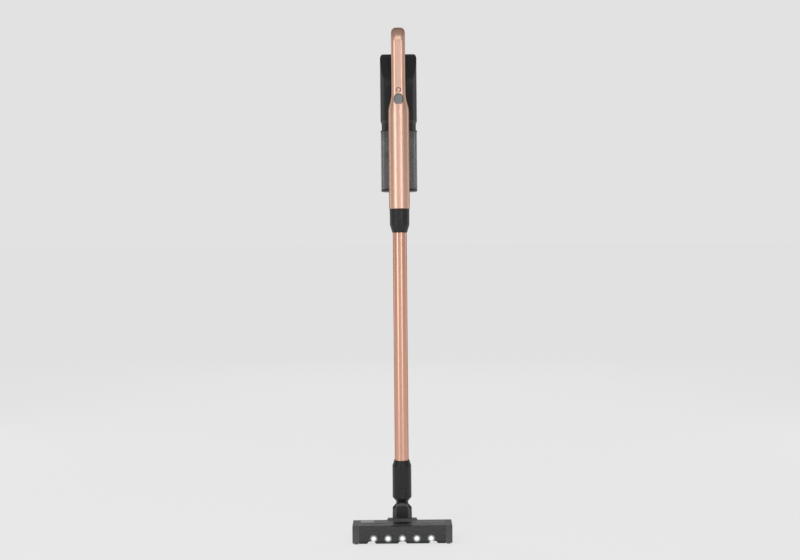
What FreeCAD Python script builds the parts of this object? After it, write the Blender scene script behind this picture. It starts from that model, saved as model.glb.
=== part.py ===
import FreeCAD, Part
import os
import re
from math import atan2, tan

import Sketcher
from FreeCAD import Placement, Rotation, Vector

# A cordless stick vacuum standing upright, in millimetres, +Z up and its front towards -Y.  Pieces are laid
# out about the wand's axis; place() then shifts them so that the origin is on the floor, under the middle
# of the machine's bounding box.

SIZES = {
    # floor head
    "head_front": 64,
    "head_width": 226,
    "head_height": 43,
    "head_back": 8,
    "lip_height": 3.3,
    "cap_width": 15,
    "shell_wall": 2.5,
    "brush_offset": 41.5,
    "brush_height": 18,
    "bristle_radius": 17.2,
    "core_radius": 11,
    "chamber_gap": 2.3,
    "mouth_half": 15.5,
    "strip_front": 42,
    "panel_half": 20.5,
    "panel_front": 54.6,
    "platform_half": 32,
    "platform_rise": 3,
    "light_height": 14.8,
    "light_half": 5.5,
    "light_pitch": 32.5,
    "notch_pitch": 70,
    "notch_top": 11.3,
    "notch_base": 20.7,
    "notch_height": 5.6,
    "roller_radius": 4.5,
    "roller_width": 9,
    "wheel_radius": 9,
    "wheel_width": 9,
    "wheel_offset": 37,
    "axle_radius": 2,
    "run_gap": 0.4,
    # folding and swivelling neck
    "fold_height": 30,
    "barrel_radius": 14,
    "barrel_half": 22,
    "arm_width": 11,
    "swivel_height": 67.6,
    "lug_radius": 15,
    "lug_width": 5.4,
    "throat_radius": 14,
    "shoulder_half": 22.2,
    "hose_radius": "=throat_radius - 4",
    "neck_radius": 22.3,
    "neck_taper": 9.8,
    "foot_rise": 17.2,
    "socket_depth": 69,
    "neck_chamfer": 13,
    # wand
    "wand_radius": 16,
    "wand_wall": 1.2,
    "wand_length": 648,
    "slide_gap": 0.1,
    # collar and release buttons
    "collar_radius": 22.7,
    "collar_depth": 52,
    "collar_taper": 17,
    "key_width": 14.4,
    "key_length": 25,
    "key_reach": 14.5,
    "key_sink": 3.2,
    # front housing and handle
    "housing_radius": 23.8,
    "housing_length": 225,
    "flare_length": 39,
    "grip_half": 16,
    "grip_depth": 26,
    "grip_front": 20,
    "grip_reach": 98,
    "grip_rise": 63.2,
    "button_width": 19,
    "button_height": 22.6,
    "spot_pitch": 4.8,
    "spot_rise": 1.25,
    "cell_radius": 9.2,
    "cell_length": 65,
    # bin and motor
    "motor_radius": 43,
    "motor_stand": 19,
    "motor_gap": "=motor_radius + motor_stand",
    "seat_gap": 0.3,
    "latch_depth": 4,
    "bin_wall": 2,
    "lid_rise": 42,
    "lid_height": 6,
    "bin_height": 133,
    "motor_height": 171.4,
    "motor_dome": 9,
    "flange_height": 3.4,
    "inlet_radius": 13,
    "fan_radius": 28,
    "can_radius": 21,
}

# Places that follow from the sizes.
WAND_Y = "((head_front - motor_gap - motor_radius - latch_depth) / 2)"
HEAD_HALF = "(head_width / 2)"
BODY_HALF = "(head_width / 2 - cap_width)"
CHAMBER = "(bristle_radius + chamber_gap)"
LUG_Y = "(throat_radius + run_gap)"
NECK_LOW = "(swivel_height + lug_radius + run_gap)"
NECK_WIDE = f"({NECK_LOW} + neck_taper)"
WAND_LOW = f"({NECK_WIDE} + foot_rise)"
NECK_RIM = f"({WAND_LOW} + socket_depth)"
WAND_HIGH = f"({WAND_LOW} + wand_length)"
COLLAR_LOW = f"({WAND_HIGH} - collar_depth)"
HOUSING_LOW = f"({WAND_HIGH} + 2)"
BORE = "(wand_radius + slide_gap)"
SHOULDER = f"({HOUSING_LOW} + housing_length)"
GRIP_LOW = f"({SHOULDER} + flare_length)"
LID_LOW = f"({HOUSING_LOW} + lid_rise)"
BIN_LOW = f"({LID_LOW} + lid_height + 1)"
BIN_HIGH = f"({BIN_LOW} + bin_height)"
MOTOR_LOW = f"({BIN_HIGH} + flange_height)"
MOTOR_HIGH = f"({MOTOR_LOW} + motor_height)"
GRIP_TOP = f"({MOTOR_HIGH} + grip_rise)"
INLET = f"({BIN_LOW} + 22)"
ROOM_HEIGHT = f"({MOTOR_HIGH} + motor_dome - {HOUSING_LOW} + 10)"
SOCKET = f"({HOUSING_LOW} + 52)"

TURNS = {
    "Z": Rotation(),
    "X": Rotation(Vector(0, 1, 0), 90),
    "Y": Rotation(Vector(1, 0, 0), -90),
}

doc = FreeCAD.newDocument("stick_vacuum")
nodes = []


def make_sheet():
    """Put every driving size in the spreadsheet with an alias; a few are worked out from the ones above them."""
    sheet = doc.addObject("Spreadsheet::Sheet", "Dims")
    for row, (alias, value) in enumerate(SIZES.items(), start=1):
        sheet.set(f"A{row}", alias)
        sheet.set(f"B{row}", str(value))
        sheet.setAlias(f"B{row}", alias)
    doc.recompute()
    return sheet


sheet = make_sheet()


def bind(size):
    """Put the sheet's name before each alias, so that an expression names a size by its plain word."""
    return re.sub(r"[a-z_]+", lambda word: f"Dims.{word[0]}" if word[0] in SIZES else word[0], str(size))


def value(size):
    """Work an expression out as a number."""
    return float(sheet.evalExpression(bind(size)))


def place(thing, at=(0, 0, 0), axis="Z"):
    """Turn a thing's own Z along an axis and put it at a place measured from the wand's axis."""
    thing.Placement = Placement(Vector(), TURNS[axis])
    x, y, z = at
    for letter, size in (("x", x), ("y", f"{WAND_Y} + ({y})"), ("z", z)):
        thing.setExpression(f"Placement.Base.{letter}", bind(size))
    return thing


def solid(kind, sizes, at, axis="Z"):
    """Add a Part primitive with its sizes bound to the sheet."""
    thing = doc.addObject(kind, kind[6:].lower())
    for name, size in sizes.items():
        thing.setExpression(name, bind(size))
    return place(thing, at, axis)


def rod(at, radius, length, axis="Z"):
    return solid("Part::Cylinder", {"Radius": radius, "Height": length}, at, axis)


def cone(at, radius, far_radius, length, axis="Z"):
    return solid("Part::Cone", {"Radius1": radius, "Radius2": far_radius, "Height": length}, at, axis)


def ball(at, radius):
    return solid("Part::Sphere", {"Radius": radius}, at)


def box(x, y, z):
    """Add a box from its range along each axis."""
    sizes = {name: f"({high}) - ({low})" for name, (low, high) in zip(("Length", "Width", "Height"), (x, y, z))}
    return solid("Part::Box", sizes, [low for low, high in (x, y, z)])


def wide(half, y, z):
    """Add a box that is centred on the machine's middle plane."""
    return box((f"-({half})", half), y, z)


def fuse(*things):
    if len(things) == 1:
        return things[0]
    joined = doc.addObject("Part::MultiFuse", "fuse")
    joined.Shapes = list(things)
    return joined


def cut(base, *tools):
    left = doc.addObject("Part::Cut", "cut")
    left.Base = base
    left.Tool = fuse(*tools)
    return left


def common(*things):
    shared = doc.addObject("Part::MultiCommon", "common")
    shared.Shapes = list(things)
    return shared


def tube(at, radius, bore, length, axis="Z"):
    return cut(rod(at, radius, length, axis), rod(at, bore, length, axis))


def sketch_on(body, plane, corners):
    """Draw a closed outline on one of the body's planes.  A corner is (across, up) or (across, up, radius)."""
    sketch = body.newObject("Sketcher::SketchObject", "sketch")
    origin = next(item for item in body.Origin.OriginFeatures if item.Role == plane)
    sketch.AttachmentSupport = [(origin, "")]
    sketch.MapMode = "FlatFace"
    points = [Vector(value(corner[0]), value(corner[1]), 0) for corner in corners]
    count = len(points)
    lines = list(range(count))
    starts, ends = [], []
    for index, corner in enumerate(corners):
        here = points[index]
        before = (points[index - 1] - here).normalize()
        after = (points[(index + 1) % count] - here).normalize()
        radius = value(corner[2]) if len(corner) > 2 else 0
        trim = radius / tan(before.getAngle(after) / 2) if radius else 0
        ends.append(here + before * trim)
        starts.append(here + after * trim)
    for index in lines:
        sketch.addGeometry(Part.LineSegment(starts[index], ends[(index + 1) % count]), False)
    for index, corner in enumerate(corners):
        line_in, line_out = (index - 1) % count, index
        if len(corner) > 2:
            pin(sketch, add_arc(sketch, corner, points[index], ends[index], starts[index], line_in, line_out), 1,
                corner, points[index])
        else:
            sketch.addConstraint(Sketcher.Constraint("Coincident", line_in, 2, line_out, 1))
            pin(sketch, line_out, 1, corner, points[index])
    return sketch


def pin(sketch, item, end, corner, point):
    """Hold a point of the sketch at a corner's bound distances from the sketch's origin."""
    for kind, size, number in (("DistanceX", corner[0], point.x), ("DistanceY", corner[1], point.y)):
        index = sketch.addConstraint(Sketcher.Constraint(kind, -1, 1, item, end, number))
        sketch.setExpression(f"Constraints[{index}]", bind(size))


def add_arc(sketch, corner, point, first, last, line_in, line_out):
    """Round a corner between two lines, and return the construction point that keeps the corner's place."""
    radius = value(corner[2])
    inward = ((first + last) * 0.5 - point).normalize()
    reach = (first - point).Length
    centre = point + inward * (reach * reach + radius * radius) ** 0.5
    angles = [atan2(spot.y - centre.y, spot.x - centre.x) for spot in (first, last)]
    leftward = (first - point).cross(last - point).z < 0
    order = angles if leftward else angles[::-1]
    circle = Part.Circle(centre, Vector(0, 0, 1), radius)
    arc = sketch.addGeometry(Part.ArcOfCircle(circle, order[0], order[1]), False)
    near, far = (1, 2) if leftward else (2, 1)
    sketch.addConstraint(Sketcher.Constraint("Tangent", line_in, 2, arc, near))
    sketch.addConstraint(Sketcher.Constraint("Tangent", arc, far, line_out, 1))
    index = sketch.addConstraint(Sketcher.Constraint("Radius", arc, radius))
    sketch.setExpression(f"Constraints[{index}]", bind(corner[2]))
    mark = sketch.addGeometry(Part.Point(point), True)
    sketch.addConstraint(Sketcher.Constraint("PointOnObject", mark, 1, line_in))
    sketch.addConstraint(Sketcher.Constraint("PointOnObject", mark, 1, line_out))
    return mark


def turned(corners, at=(0, 0, 0), axis="Z"):
    """Revolve an outline of (radius, height) corners about the piece's own axis."""
    body = doc.addObject("PartDesign::Body", "body")
    sketch = sketch_on(body, "XZ_Plane", corners)
    turn = body.newObject("PartDesign::Revolution", "turn")
    turn.Profile = sketch
    turn.ReferenceAxis = (sketch, ["V_Axis"])
    turn.Angle = 360
    return place(body, at, axis)


def padded(plane, corners, half, at=(0, 0, 0)):
    """Pad an outline to both sides of one of the body's planes."""
    body = doc.addObject("PartDesign::Body", "body")
    pad = body.newObject("PartDesign::Pad", "pad")
    pad.Profile = sketch_on(body, plane, corners)
    pad.setExpression("Length", bind(f"2 * ({half})"))
    pad.SideType = "Symmetric"
    return place(body, at)


def piece(thing, label):
    """Name a finished sub-part after its node."""
    thing.Label = label
    nodes.append(thing)
    return thing


# ---- floor head ------------------------------------------------------------------------------------------

def head_section(half, front="head_front", top="head_height"):
    """The nozzle's side outline, padded to both sides of the middle."""
    low = "lip_height"
    return padded("YZ_Plane", [(f"-{front}", low, 3), (f"-{front}", top, 4), ("-(head_back)", top, 9),
                               ("-(head_back)", low, 3)], half)


def floor_head():
    brush = ("0", "-brush_offset", "brush_height")
    left = (f"-{BODY_HALF}", *brush[1:])
    chamber = rod(left, CHAMBER, f"2 * {BODY_HALF}", "X")
    mouth = wide(BODY_HALF, ("-brush_offset - mouth_half", "-brush_offset + mouth_half"), (0, "brush_height"))
    socket = rod(("-barrel_half - run_gap", 0, "fold_height"), "barrel_radius + run_gap",
                 "2 * (barrel_half + run_gap)", "X")
    duct = rod((0, "-brush_offset + shell_wall", "brush_height + 4"), "hose_radius", "brush_offset", "Y")
    well = wide("barrel_half + run_gap", (0, "wheel_offset + wheel_radius"), (0, "head_height + 20"))

    # The base is the back half of the nozzle, with arms that hold the fold barrel and carry the wheels.
    block = common(head_section(f"{BODY_HALF}"), wide(HEAD_HALF, ("-strip_front", 0), (0, "head_height - shell_wall")))
    arms = [box((f"{side} * (barrel_half + run_gap) - {low} * arm_width",
                 f"{side} * (barrel_half + run_gap) + {high} * arm_width"),
                ("-head_back - 1", "wheel_offset + 5"), ("wheel_radius - 4", "wheel_radius + 7"))
            for side, low, high in ((-1, 1, 0), (1, 0, 1))]
    ears = [rod((x, 0, "fold_height"), "barrel_radius - 1", "arm_width", "X")
            for x in ("-barrel_half - run_gap - arm_width", "barrel_half + run_gap")]
    webs = [box((f"{side} * (barrel_half + run_gap) - {low} * arm_width",
                 f"{side} * (barrel_half + run_gap) + {high} * arm_width"),
                ("-head_back - 1", "barrel_radius - 1"), ("wheel_radius", "fold_height"))
            for side, low, high in ((-1, 1, 0), (1, 0, 1))]
    pins = rod(("-barrel_half - arm_width - 3", 0, "fold_height"), "axle_radius + 1.5",
               "2 * (barrel_half + arm_width + 3)", "X")
    axle_hole = rod(("-barrel_half - arm_width - 3", "wheel_offset", "wheel_radius"), "axle_radius",
                    "2 * (barrel_half + arm_width + 3)", "X")
    piece(cut(fuse(block, *arms, *ears, *webs), chamber, mouth, socket, duct, well, pins, axle_hole), "head_base")

    # Strips of rubber in front and behind the mouth, and felt pads on the sole's underside.
    lip = cut(wide(BODY_HALF, ("-head_front", "-head_front + shell_wall"), ("lip_height", "light_height - light_half")),
              *[notch(centre) for centre in ("-notch_pitch", 0, "notch_pitch")])
    piece(lip, "front_lip")
    piece(wide(f"{BODY_HALF} - 4", ("-brush_offset + mouth_half + 0.5", "-brush_offset + mouth_half + 3.5"),
               (0, "lip_height")), "sole_strip")

    # The opaque top strip, its raised platform at the back and the panel over the window.
    strip = common(head_section(BODY_HALF),
                   wide(HEAD_HALF, ("-strip_front", 0), ("head_height - shell_wall", "head_height")))
    platform = padded("XZ_Plane", [("-platform_half - 4", "head_height - shell_wall"),
                                   ("-platform_half", "head_height + platform_rise", 3),
                                   ("platform_half", "head_height + platform_rise", 3),
                                   ("platform_half + 4", "head_height - shell_wall")], 5,
                      (0, "-head_back - 5", 0))
    panel = wide("panel_half", ("-panel_front", "-strip_front"), ("head_height - shell_wall", "head_height + 0.6"))
    piece(cut(fuse(strip, platform, panel), socket, well), "top_cover")

    # The clear window wraps over the brush from the strip to the light bar.
    hollow = wide(HEAD_HALF, ("-head_front + shell_wall", "-strip_front + 1"), (0, "head_height - shell_wall"))
    cover_room = wide("panel_half", ("-panel_front", "-strip_front"), ("head_height - shell_wall", "head_height + 1"))
    rear_room = wide(HEAD_HALF, ("-strip_front", 0), (0, "head_height + 1"))
    bar_room = wide(HEAD_HALF, ("-head_front - 1", 0), (0, "light_height + light_half"))
    piece(cut(head_section(BODY_HALF), hollow, cover_room, rear_room, bar_room), "window")

    # The light bar, its board and five lenses.
    bar = wide(BODY_HALF, ("-head_front", "-head_front + shell_wall"),
               ("light_height - light_half", "light_height + light_half"))
    spots = [f"{place} * light_pitch" for place in range(-2, 3)]
    holes = [rod((x, "-head_front - 1", "light_height"), 2.5, "shell_wall + 2", "Y") for x in spots]
    piece(cut(bar, *holes), "light_bar")
    piece(fuse(*[rod((x, "-head_front + 0.3", "light_height"), 2.5, "shell_wall - 0.3", "Y") for x in spots]),
          "light_lenses")
    piece(wide("2 * light_pitch + 6", ("-head_front + shell_wall", "-head_front + shell_wall + 1"),
               ("light_height - 3", "light_height + 3")), "light_board")

    # End caps close the brush chamber; the right one holds the bearing.
    for side, label in ((-1, "end_cap_left"), (1, "end_cap_right")):
        near, far = f"{side} * {BODY_HALF}", f"{side} * {HEAD_HALF}"
        x_range = (near, far) if side > 0 else (far, near)
        shape = common(head_section(HEAD_HALF), box(x_range, ("-head_front", 0), (0, "head_height")))
        middle = f"{side} * ({BODY_HALF} + roller_width / 2 + 2)"
        roller_room = box((f"{middle} - roller_width / 2 - 0.5", f"{middle} + roller_width / 2 + 0.5"),
                          ("-head_front + 1.6", "-head_front + 13.4"), (0, "roller_radius + 7"))
        bearing = rod((f"{side} * {BODY_HALF} - 6", *brush[1:]), 5, 12, "X")
        axle = rod((f"{middle} - roller_width / 2 - 1", "-head_front + 7.5", "roller_radius"), "axle_radius - 0.8",
                   "roller_width + 2", "X")
        piece(fuse(cut(shape, roller_room, bearing), axle), label)
        spot = (f"{middle} - roller_width / 2", "-head_front + 7.5", "roller_radius")
        piece(tube(spot, "roller_radius", "axle_radius - 0.72", "roller_width", "X"),
              f"front_roller_{'left' if side < 0 else 'right'}")

    bearings = [tube((f"{side} * ({BODY_HALF} + 3) - 3", *brush[1:]), 5, 3, 6, "X") for side in (-1, 1)]
    piece(fuse(*bearings), "brush_bearings")

    # Brush roller: a hollow core on a shaft, four strips of bristles and the motor inside it.
    gap = "(run_gap + 0.3)"
    core = tube((f"-{BODY_HALF} + {gap}", *brush[1:]), "core_radius", "core_radius - 2", f"2 * ({BODY_HALF} - {gap})",
                "X")
    hub = rod((f"{BODY_HALF} - 14", *brush[1:]), "core_radius - 2", f"14 - {gap}", "X")
    stub = rod((f"{BODY_HALF} - 14", *brush[1:]), 3 - 0.05, 20 - 0.5, "X")
    piece(fuse(core, hub, stub), "brush_core")
    bristles = [bristle_strip(turn) for turn in range(4)]
    piece(cut(fuse(*bristles), rod((f"-{BODY_HALF}", *brush[1:]), "core_radius", f"2 * {BODY_HALF}", "X")),
          "brush_bristles")
    piece(fuse(rod((f"-{BODY_HALF} + 8", *brush[1:]), "core_radius - 3", 70, "X"),
               rod((f"-{BODY_HALF} - 6", *brush[1:]), 3, 15, "X")), "brush_motor")

    # Rear wheels on one axle through both arms.
    reach = "barrel_half + run_gap + arm_width"
    piece(rod((f"-({reach} + wheel_width + 2)", "wheel_offset", "wheel_radius"), "axle_radius",
              f"2 * ({reach} + wheel_width + 2)", "X"), "wheel_axle")
    for side, label in ((-1, "rear_wheel_left"), (1, "rear_wheel_right")):
        start = f"-({reach} + run_gap + wheel_width)" if side < 0 else f"{reach} + run_gap"
        spot = (start, "wheel_offset", "wheel_radius")
        piece(tube(spot, "wheel_radius", "axle_radius + 0.08", "wheel_width", "X"), label)

    # A plain plate on the top strip.
    piece(box((-95, -65), ("-strip_front + 7", "-strip_front + 22"), ("head_height", "head_height + 0.4")),
          "name_plate")


def notch(centre):
    """One trapezoid opening in the front lip, where larger crumbs pass."""
    low = "lip_height"
    return padded("XZ_Plane", [("-notch_base / 2", low), ("-notch_top / 2", f"{low} + notch_height"),
                               ("notch_top / 2", f"{low} + notch_height"), ("notch_base / 2", low)],
                  10, (centre, "-head_front", 0))


def bristle_strip(turn):
    """One row of bristles along the core, a quarter of a turn from the next."""
    body = doc.addObject("PartDesign::Body", "body")
    profile = sketch_on(body, "XY_Plane", [(-1.2, "core_radius - 0.3"), (-1.2, "bristle_radius"),
                                           (1.2, "bristle_radius"), (1.2, "core_radius - 0.3")])
    pad = body.newObject("PartDesign::Pad", "pad")
    pad.Profile = profile
    pad.setExpression("Length", bind(f"2 * ({BODY_HALF} - 2)"))
    place(body, (f"-({BODY_HALF} - 2)", "-brush_offset", "brush_height"), "X")
    body.Placement = Placement(body.Placement.Base, TURNS["X"] * Rotation(Vector(0, 0, 1), 90 * turn + 45))
    return body


# ---- folding and swivelling neck -------------------------------------------------------------------------

def yoke():
    """The barrel that folds in the head, with two lugs that hold the neck's swivel pins."""
    lug_side = [("-shoulder_half", "head_height + platform_rise + 0.5"), ("-shoulder_half", "swivel_height - 4.6"),
                ("-throat_radius", "swivel_height + 4.4"), ("throat_radius", "swivel_height + 4.4"),
                ("shoulder_half", "swivel_height - 4.6"), ("shoulder_half", "head_height + platform_rise + 0.5")]
    depth = f"{LUG_Y} + lug_width"
    base_low = "head_height + platform_rise + 0.5"
    lugs = fuse(padded("XZ_Plane", lug_side, depth),
                rod((0, f"-({depth})", "swivel_height"), "lug_radius", f"2 * ({depth})", "Y"))
    between = box(("-shoulder_half - 1", "shoulder_half + 1"), (f"-({LUG_Y})", LUG_Y),
                  ("swivel_height - throat_radius - run_gap - 0.5", "swivel_height + lug_radius + 5"))
    barrel = rod(("-barrel_half", 0, "fold_height"), "barrel_radius", "2 * barrel_half", "X")
    stem = wide("barrel_half - 1", ("-head_back + 1.5", "barrel_radius"), ("fold_height", f"{base_low} + 2"))
    hollow = rod(("-barrel_half + 3", 0, "fold_height"), "barrel_radius - 3", "2 * (barrel_half - 3)", "X")
    passage = rod((0, 0, "fold_height"), "hose_radius", "swivel_height - fold_height")
    mouth = wide("hose_radius", ("-barrel_radius - 1", 0), ("fold_height - barrel_radius - 1", "fold_height"))
    fold_pins = rod(("-barrel_half - 1", 0, "fold_height"), "axle_radius + 1.56", "2 * (barrel_half + 1)", "X")
    swivel_holes = rod((0, f"-({depth}) - 1", "swivel_height"), "axle_radius + 0.6", f"2 * ({depth} + 1)", "Y")
    piece(cut(fuse(lugs, barrel, stem), between, hollow, passage, mouth, fold_pins, swivel_holes), "swivel_yoke")

    # A raised cover on the front lug and one behind, like a pair of tombstones.
    corners = [("-throat_radius + 1", "swivel_height - 19"), ("-throat_radius + 1", "swivel_height + 8", 6),
               ("throat_radius - 1", "swivel_height + 8", 6), ("throat_radius - 1", "swivel_height - 19")]
    piece(common(padded("XZ_Plane", corners, 0.6, (0, f"-({depth}) - 0.6", 0)),
                 rod((0, f"-({depth}) - 1.2", "swivel_height - 4"), "lug_radius + 3", 1.2, "Y")),
          "pivot_cover")

    # Steel pins: two for the fold, pressed into the head's ears, and two for the swivel, pressed into the lugs.
    folds = [rod((low, 0, "fold_height"), "axle_radius + 1.5", "arm_width + 2.9", "X")
             for low in ("-barrel_half - arm_width", "barrel_half - 2.9")]
    piece(fuse(*folds), "fold_pins")
    swivels = [rod((0, low, "swivel_height"), "axle_radius + 0.6", f"{depth} - throat_radius + 2", "Y")
               for low in (f"-({depth})", "throat_radius - 2")]
    piece(fuse(*swivels), "swivel_pins")
    piece(tube((0, 0, "fold_height + barrel_radius + 4"), "hose_radius", "hose_radius - 1",
               f"{NECK_WIDE} - fold_height - barrel_radius - 4"), "air_hose")


def release_key(label, pivot, collar):
    """A U-shaped rocker in a round wall: pressed at its round lower end, it lifts its tongue out of the wand."""
    half = "key_width / 2"
    low, high = f"{pivot} - key_length + key_reach", f"{pivot} + key_reach"
    face = padded("XZ_Plane", [(f"-({half})", low, f"{half} - 0.2"), (f"-({half})", high), (half, high),
                               (half, low, f"{half} - 0.2")], "key_sink", (0, f"-({collar}) + key_sink - 0.6", 0))
    skin = rod((0, 0, low), f"{collar} + 0.5", "key_length")
    inner = rod((0, 0, low), f"{collar} - key_sink", "key_length")
    tongue = wide(4, (f"-({collar}) + key_sink - 1.5", f"-({BORE}) + 1"), (f"{high} - 4", f"{high} - 1"))
    trunnion = rod(("-key_width / 2 - 2", f"-({collar}) + key_sink / 2 + 0.3", pivot), 1, "key_width + 4", "X")
    piece(fuse(cut(common(face, skin), inner), tongue, trunnion), label)


def key_room(pivot, collar):
    """The pocket that a release rocker sits in, its tongue's window and its pin's hole."""
    half = "key_width / 2 + run_gap"
    low, high = f"{pivot} - key_length + key_reach - run_gap", f"{pivot} + key_reach + run_gap"
    pocket = padded("XZ_Plane", [(f"-({half})", low, f"{half} - 0.2"), (f"-({half})", high), (half, high),
                                 (half, low, f"{half} - 0.2")], "key_sink + 5", (0, f"-({collar}) - 3", 0))
    core = rod((0, 0, low), f"{collar} - key_sink - 1.6", "key_length + 2 * run_gap")
    window = wide(4.5, (f"-({collar})", "-wand_radius + 2"), (f"{high} - 4.6 - run_gap", high))
    pin = rod(("-key_width / 2 - 2.3", f"-({collar}) + key_sink / 2 + 0.3", pivot), 1.08, "key_width + 4.6", "X")
    return fuse(cut(pocket, core), window, pin)


NECK_KEY = f"({WAND_LOW} + 7.8 - key_reach)"
COLLAR_KEY = f"({WAND_HIGH} - 2 - key_reach)"


def neck():
    """The lower connector: a throat between the lugs, and a socket that takes the wand."""
    outline = [(0, "swivel_height"), ("throat_radius", "swivel_height"), ("throat_radius", NECK_LOW),
               ("neck_radius - 0.3", NECK_WIDE, 1.5), ("neck_radius - 0.5", f"{NECK_RIM} - neck_chamfer", 2),
               ("wand_radius + 1.4", NECK_RIM), (0, NECK_RIM)]
    eye = common(rod((0, "-throat_radius", "swivel_height"), "throat_radius", "2 * throat_radius", "Y"),
                 rod((0, 0, "swivel_height - throat_radius"), "throat_radius", "2 * throat_radius"))
    socket = rod((0, 0, WAND_LOW), BORE, "socket_depth + 1")
    throat = rod((0, 0, "swivel_height - throat_radius - 1"), "hose_radius + 1",
                 f"{WAND_LOW} - swivel_height + throat_radius + 2")
    pins = rod((0, "-throat_radius - 1", "swivel_height"), "axle_radius + 0.66", "2 * throat_radius + 2", "Y")
    piece(cut(fuse(turned(outline), eye), socket, throat, pins, key_room(NECK_KEY, "neck_radius - 0.4")),
          "neck_housing")
    release_key("nozzle_release_key", NECK_KEY, "neck_radius - 0.4")


# ---- wand ------------------------------------------------------------------------------------------------

def wand():
    """The aluminium tube, its two latch slots and the cable that runs inside it."""
    slots = [wide(4.6, (f"-({BORE}) - 1", "-wand_radius + 3"), (f"{key} + key_reach - 4.6", f"{key} + key_reach - 0.4"))
             for key in (NECK_KEY, COLLAR_KEY)]
    piece(cut(tube((0, 0, WAND_LOW), "wand_radius", "wand_radius - wand_wall", "wand_length"), *slots), "wand_tube")
    rear = "wand_radius - wand_wall"
    cable = wide(4, (f"{rear} - 3.4", f"{rear} - 1"), (f"{WAND_LOW} + 12", f"{WAND_HIGH} - 12"))
    plugs = [wide(5, (f"{rear} - 4.9", f"{rear} - 1.6"), (low, f"{low} + 12"))
             for low in (WAND_LOW, f"{WAND_HIGH} - 12")]
    piece(fuse(cable, *plugs), "wand_cable")


# ---- handheld unit ---------------------------------------------------------------------------------------

def bin_room():
    """The upright space that the bin and the motor take behind the front housing."""
    return rod((0, "motor_gap", f"{HOUSING_LOW} - 1"), "motor_radius + seat_gap", ROOM_HEIGHT)


def front_housing():
    """The copper front shell from the collar up to the handle, hollow, with a round recess for the bin."""
    outline = [(0, HOUSING_LOW), ("housing_radius - 1", HOUSING_LOW), ("housing_radius", f"{HOUSING_LOW} + 1"),
               ("housing_radius", SHOULDER), (0, SHOULDER)]
    inside = rod((0, 0, f"{HOUSING_LOW} - 1"), "housing_radius - shell_wall", "housing_length")
    flare = padded("XZ_Plane", [("-housing_radius", f"{SHOULDER} - 0.01"), ("-housing_radius", f"{SHOULDER} + 6", 20),
                                ("-grip_half", f"{GRIP_LOW} - 6", 20), ("-grip_half", f"{GRIP_LOW} + 2"),
                                ("grip_half", f"{GRIP_LOW} + 2"), ("grip_half", f"{GRIP_LOW} - 6", 20),
                                ("housing_radius", f"{SHOULDER} + 6", 20), ("housing_radius", f"{SHOULDER} - 0.01")],
                   "housing_radius")
    taper = turned([(0, f"{SHOULDER} - 0.01"), ("housing_radius", f"{SHOULDER} - 0.01"),
                    ("housing_radius", f"{SHOULDER} + 6", 60), ("grip_front + 0.2", f"{GRIP_LOW} - 4", 60),
                    ("grip_front + 0.2", f"{GRIP_LOW} + 2"), (0, f"{GRIP_LOW} + 2")])
    back = wide("housing_radius", ("grip_depth - grip_front", "housing_radius + 1"),
                (f"{SHOULDER} + 15", f"{GRIP_LOW} + 3"))
    recess = rod((0, "motor_gap", f"{HOUSING_LOW} - 1"), "motor_radius + seat_gap + shell_wall",
                 ROOM_HEIGHT)
    hollow = cut(inside, recess)
    button = button_shape("seat_gap", 12)
    lights = fuse(*[rod((x, "-housing_radius - 1", z), 1.05, 7, "Y") for x, z in light_spots()])
    inlet = rod((0, 0, INLET), "inlet_radius + 1.6", "motor_gap", "Y")
    bracket = wide(8, (0, "motor_gap"), (f"{MOTOR_LOW} + 25", f"{MOTOR_LOW} + 50"))
    port = rod((14, 0, SOCKET), 4.2, 20, "X")
    board_room = wide(11, ("-grip_front + 3.5", "grip_depth - grip_front - 3"), (f"{SHOULDER} - 2", f"{GRIP_LOW} + 3"))
    shell = cut(fuse(turned(outline), common(flare, taper)), hollow, bin_room(), back, button, lights, inlet, bracket,
                port, board_room, ring_groove())
    piece(shell, "front_housing")


def light_spots():
    """Five battery lights on a shallow arc below one power light."""
    arc = [(f"({step} * spot_pitch)", f"{SHOULDER} - 6 + {step * step} * spot_rise") for step in range(-2, 3)]
    return arc + [(0, f"{SHOULDER} + 7.5")]


def button_shape(gap, depth):
    """The power button's oval, from the front of the housing inward."""
    half, tall = f"(button_width / 2 + {gap})", f"(button_height / 2 + {gap})"
    middle = f"{SHOULDER} + 24"
    corners = [(f"-{half}", f"{middle} - {tall}", f"{half} - 0.1"), (f"-{half}", f"{middle} + {tall}", f"{half} - 0.1"),
               (half, f"{middle} + {tall}", f"{half} - 0.1"), (half, f"{middle} - {tall}", f"{half} - 0.1")]
    return padded("XZ_Plane", corners, f"{depth} / 2", (0, f"-housing_radius - 1 + {depth} / 2", 0))


def ring_groove():
    """The shallow groove that the mode ring is set in."""
    return tube((0, "-grip_front - 1", f"{GRIP_LOW} + 6"), 5.4, 4.2, 1.5, "Y")


def handle_path(body):
    """The handle's centre line, up from the housing, over the top and down to the motor."""
    middle = "(grip_depth / 2 - grip_front)"
    peak = f"({GRIP_TOP} - grip_depth / 2)"
    stops = [(middle, f"{GRIP_LOW} - 4"), (middle, peak, 30), (f"grip_reach - 36", f"{peak} - 3", 40),
             ("grip_reach - grip_depth / 2", f"{MOTOR_HIGH} + 14", 18), ("grip_reach - grip_depth / 2",
                                                                       f"{MOTOR_HIGH} - 14")]
    return open_path(body, stops)


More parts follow.
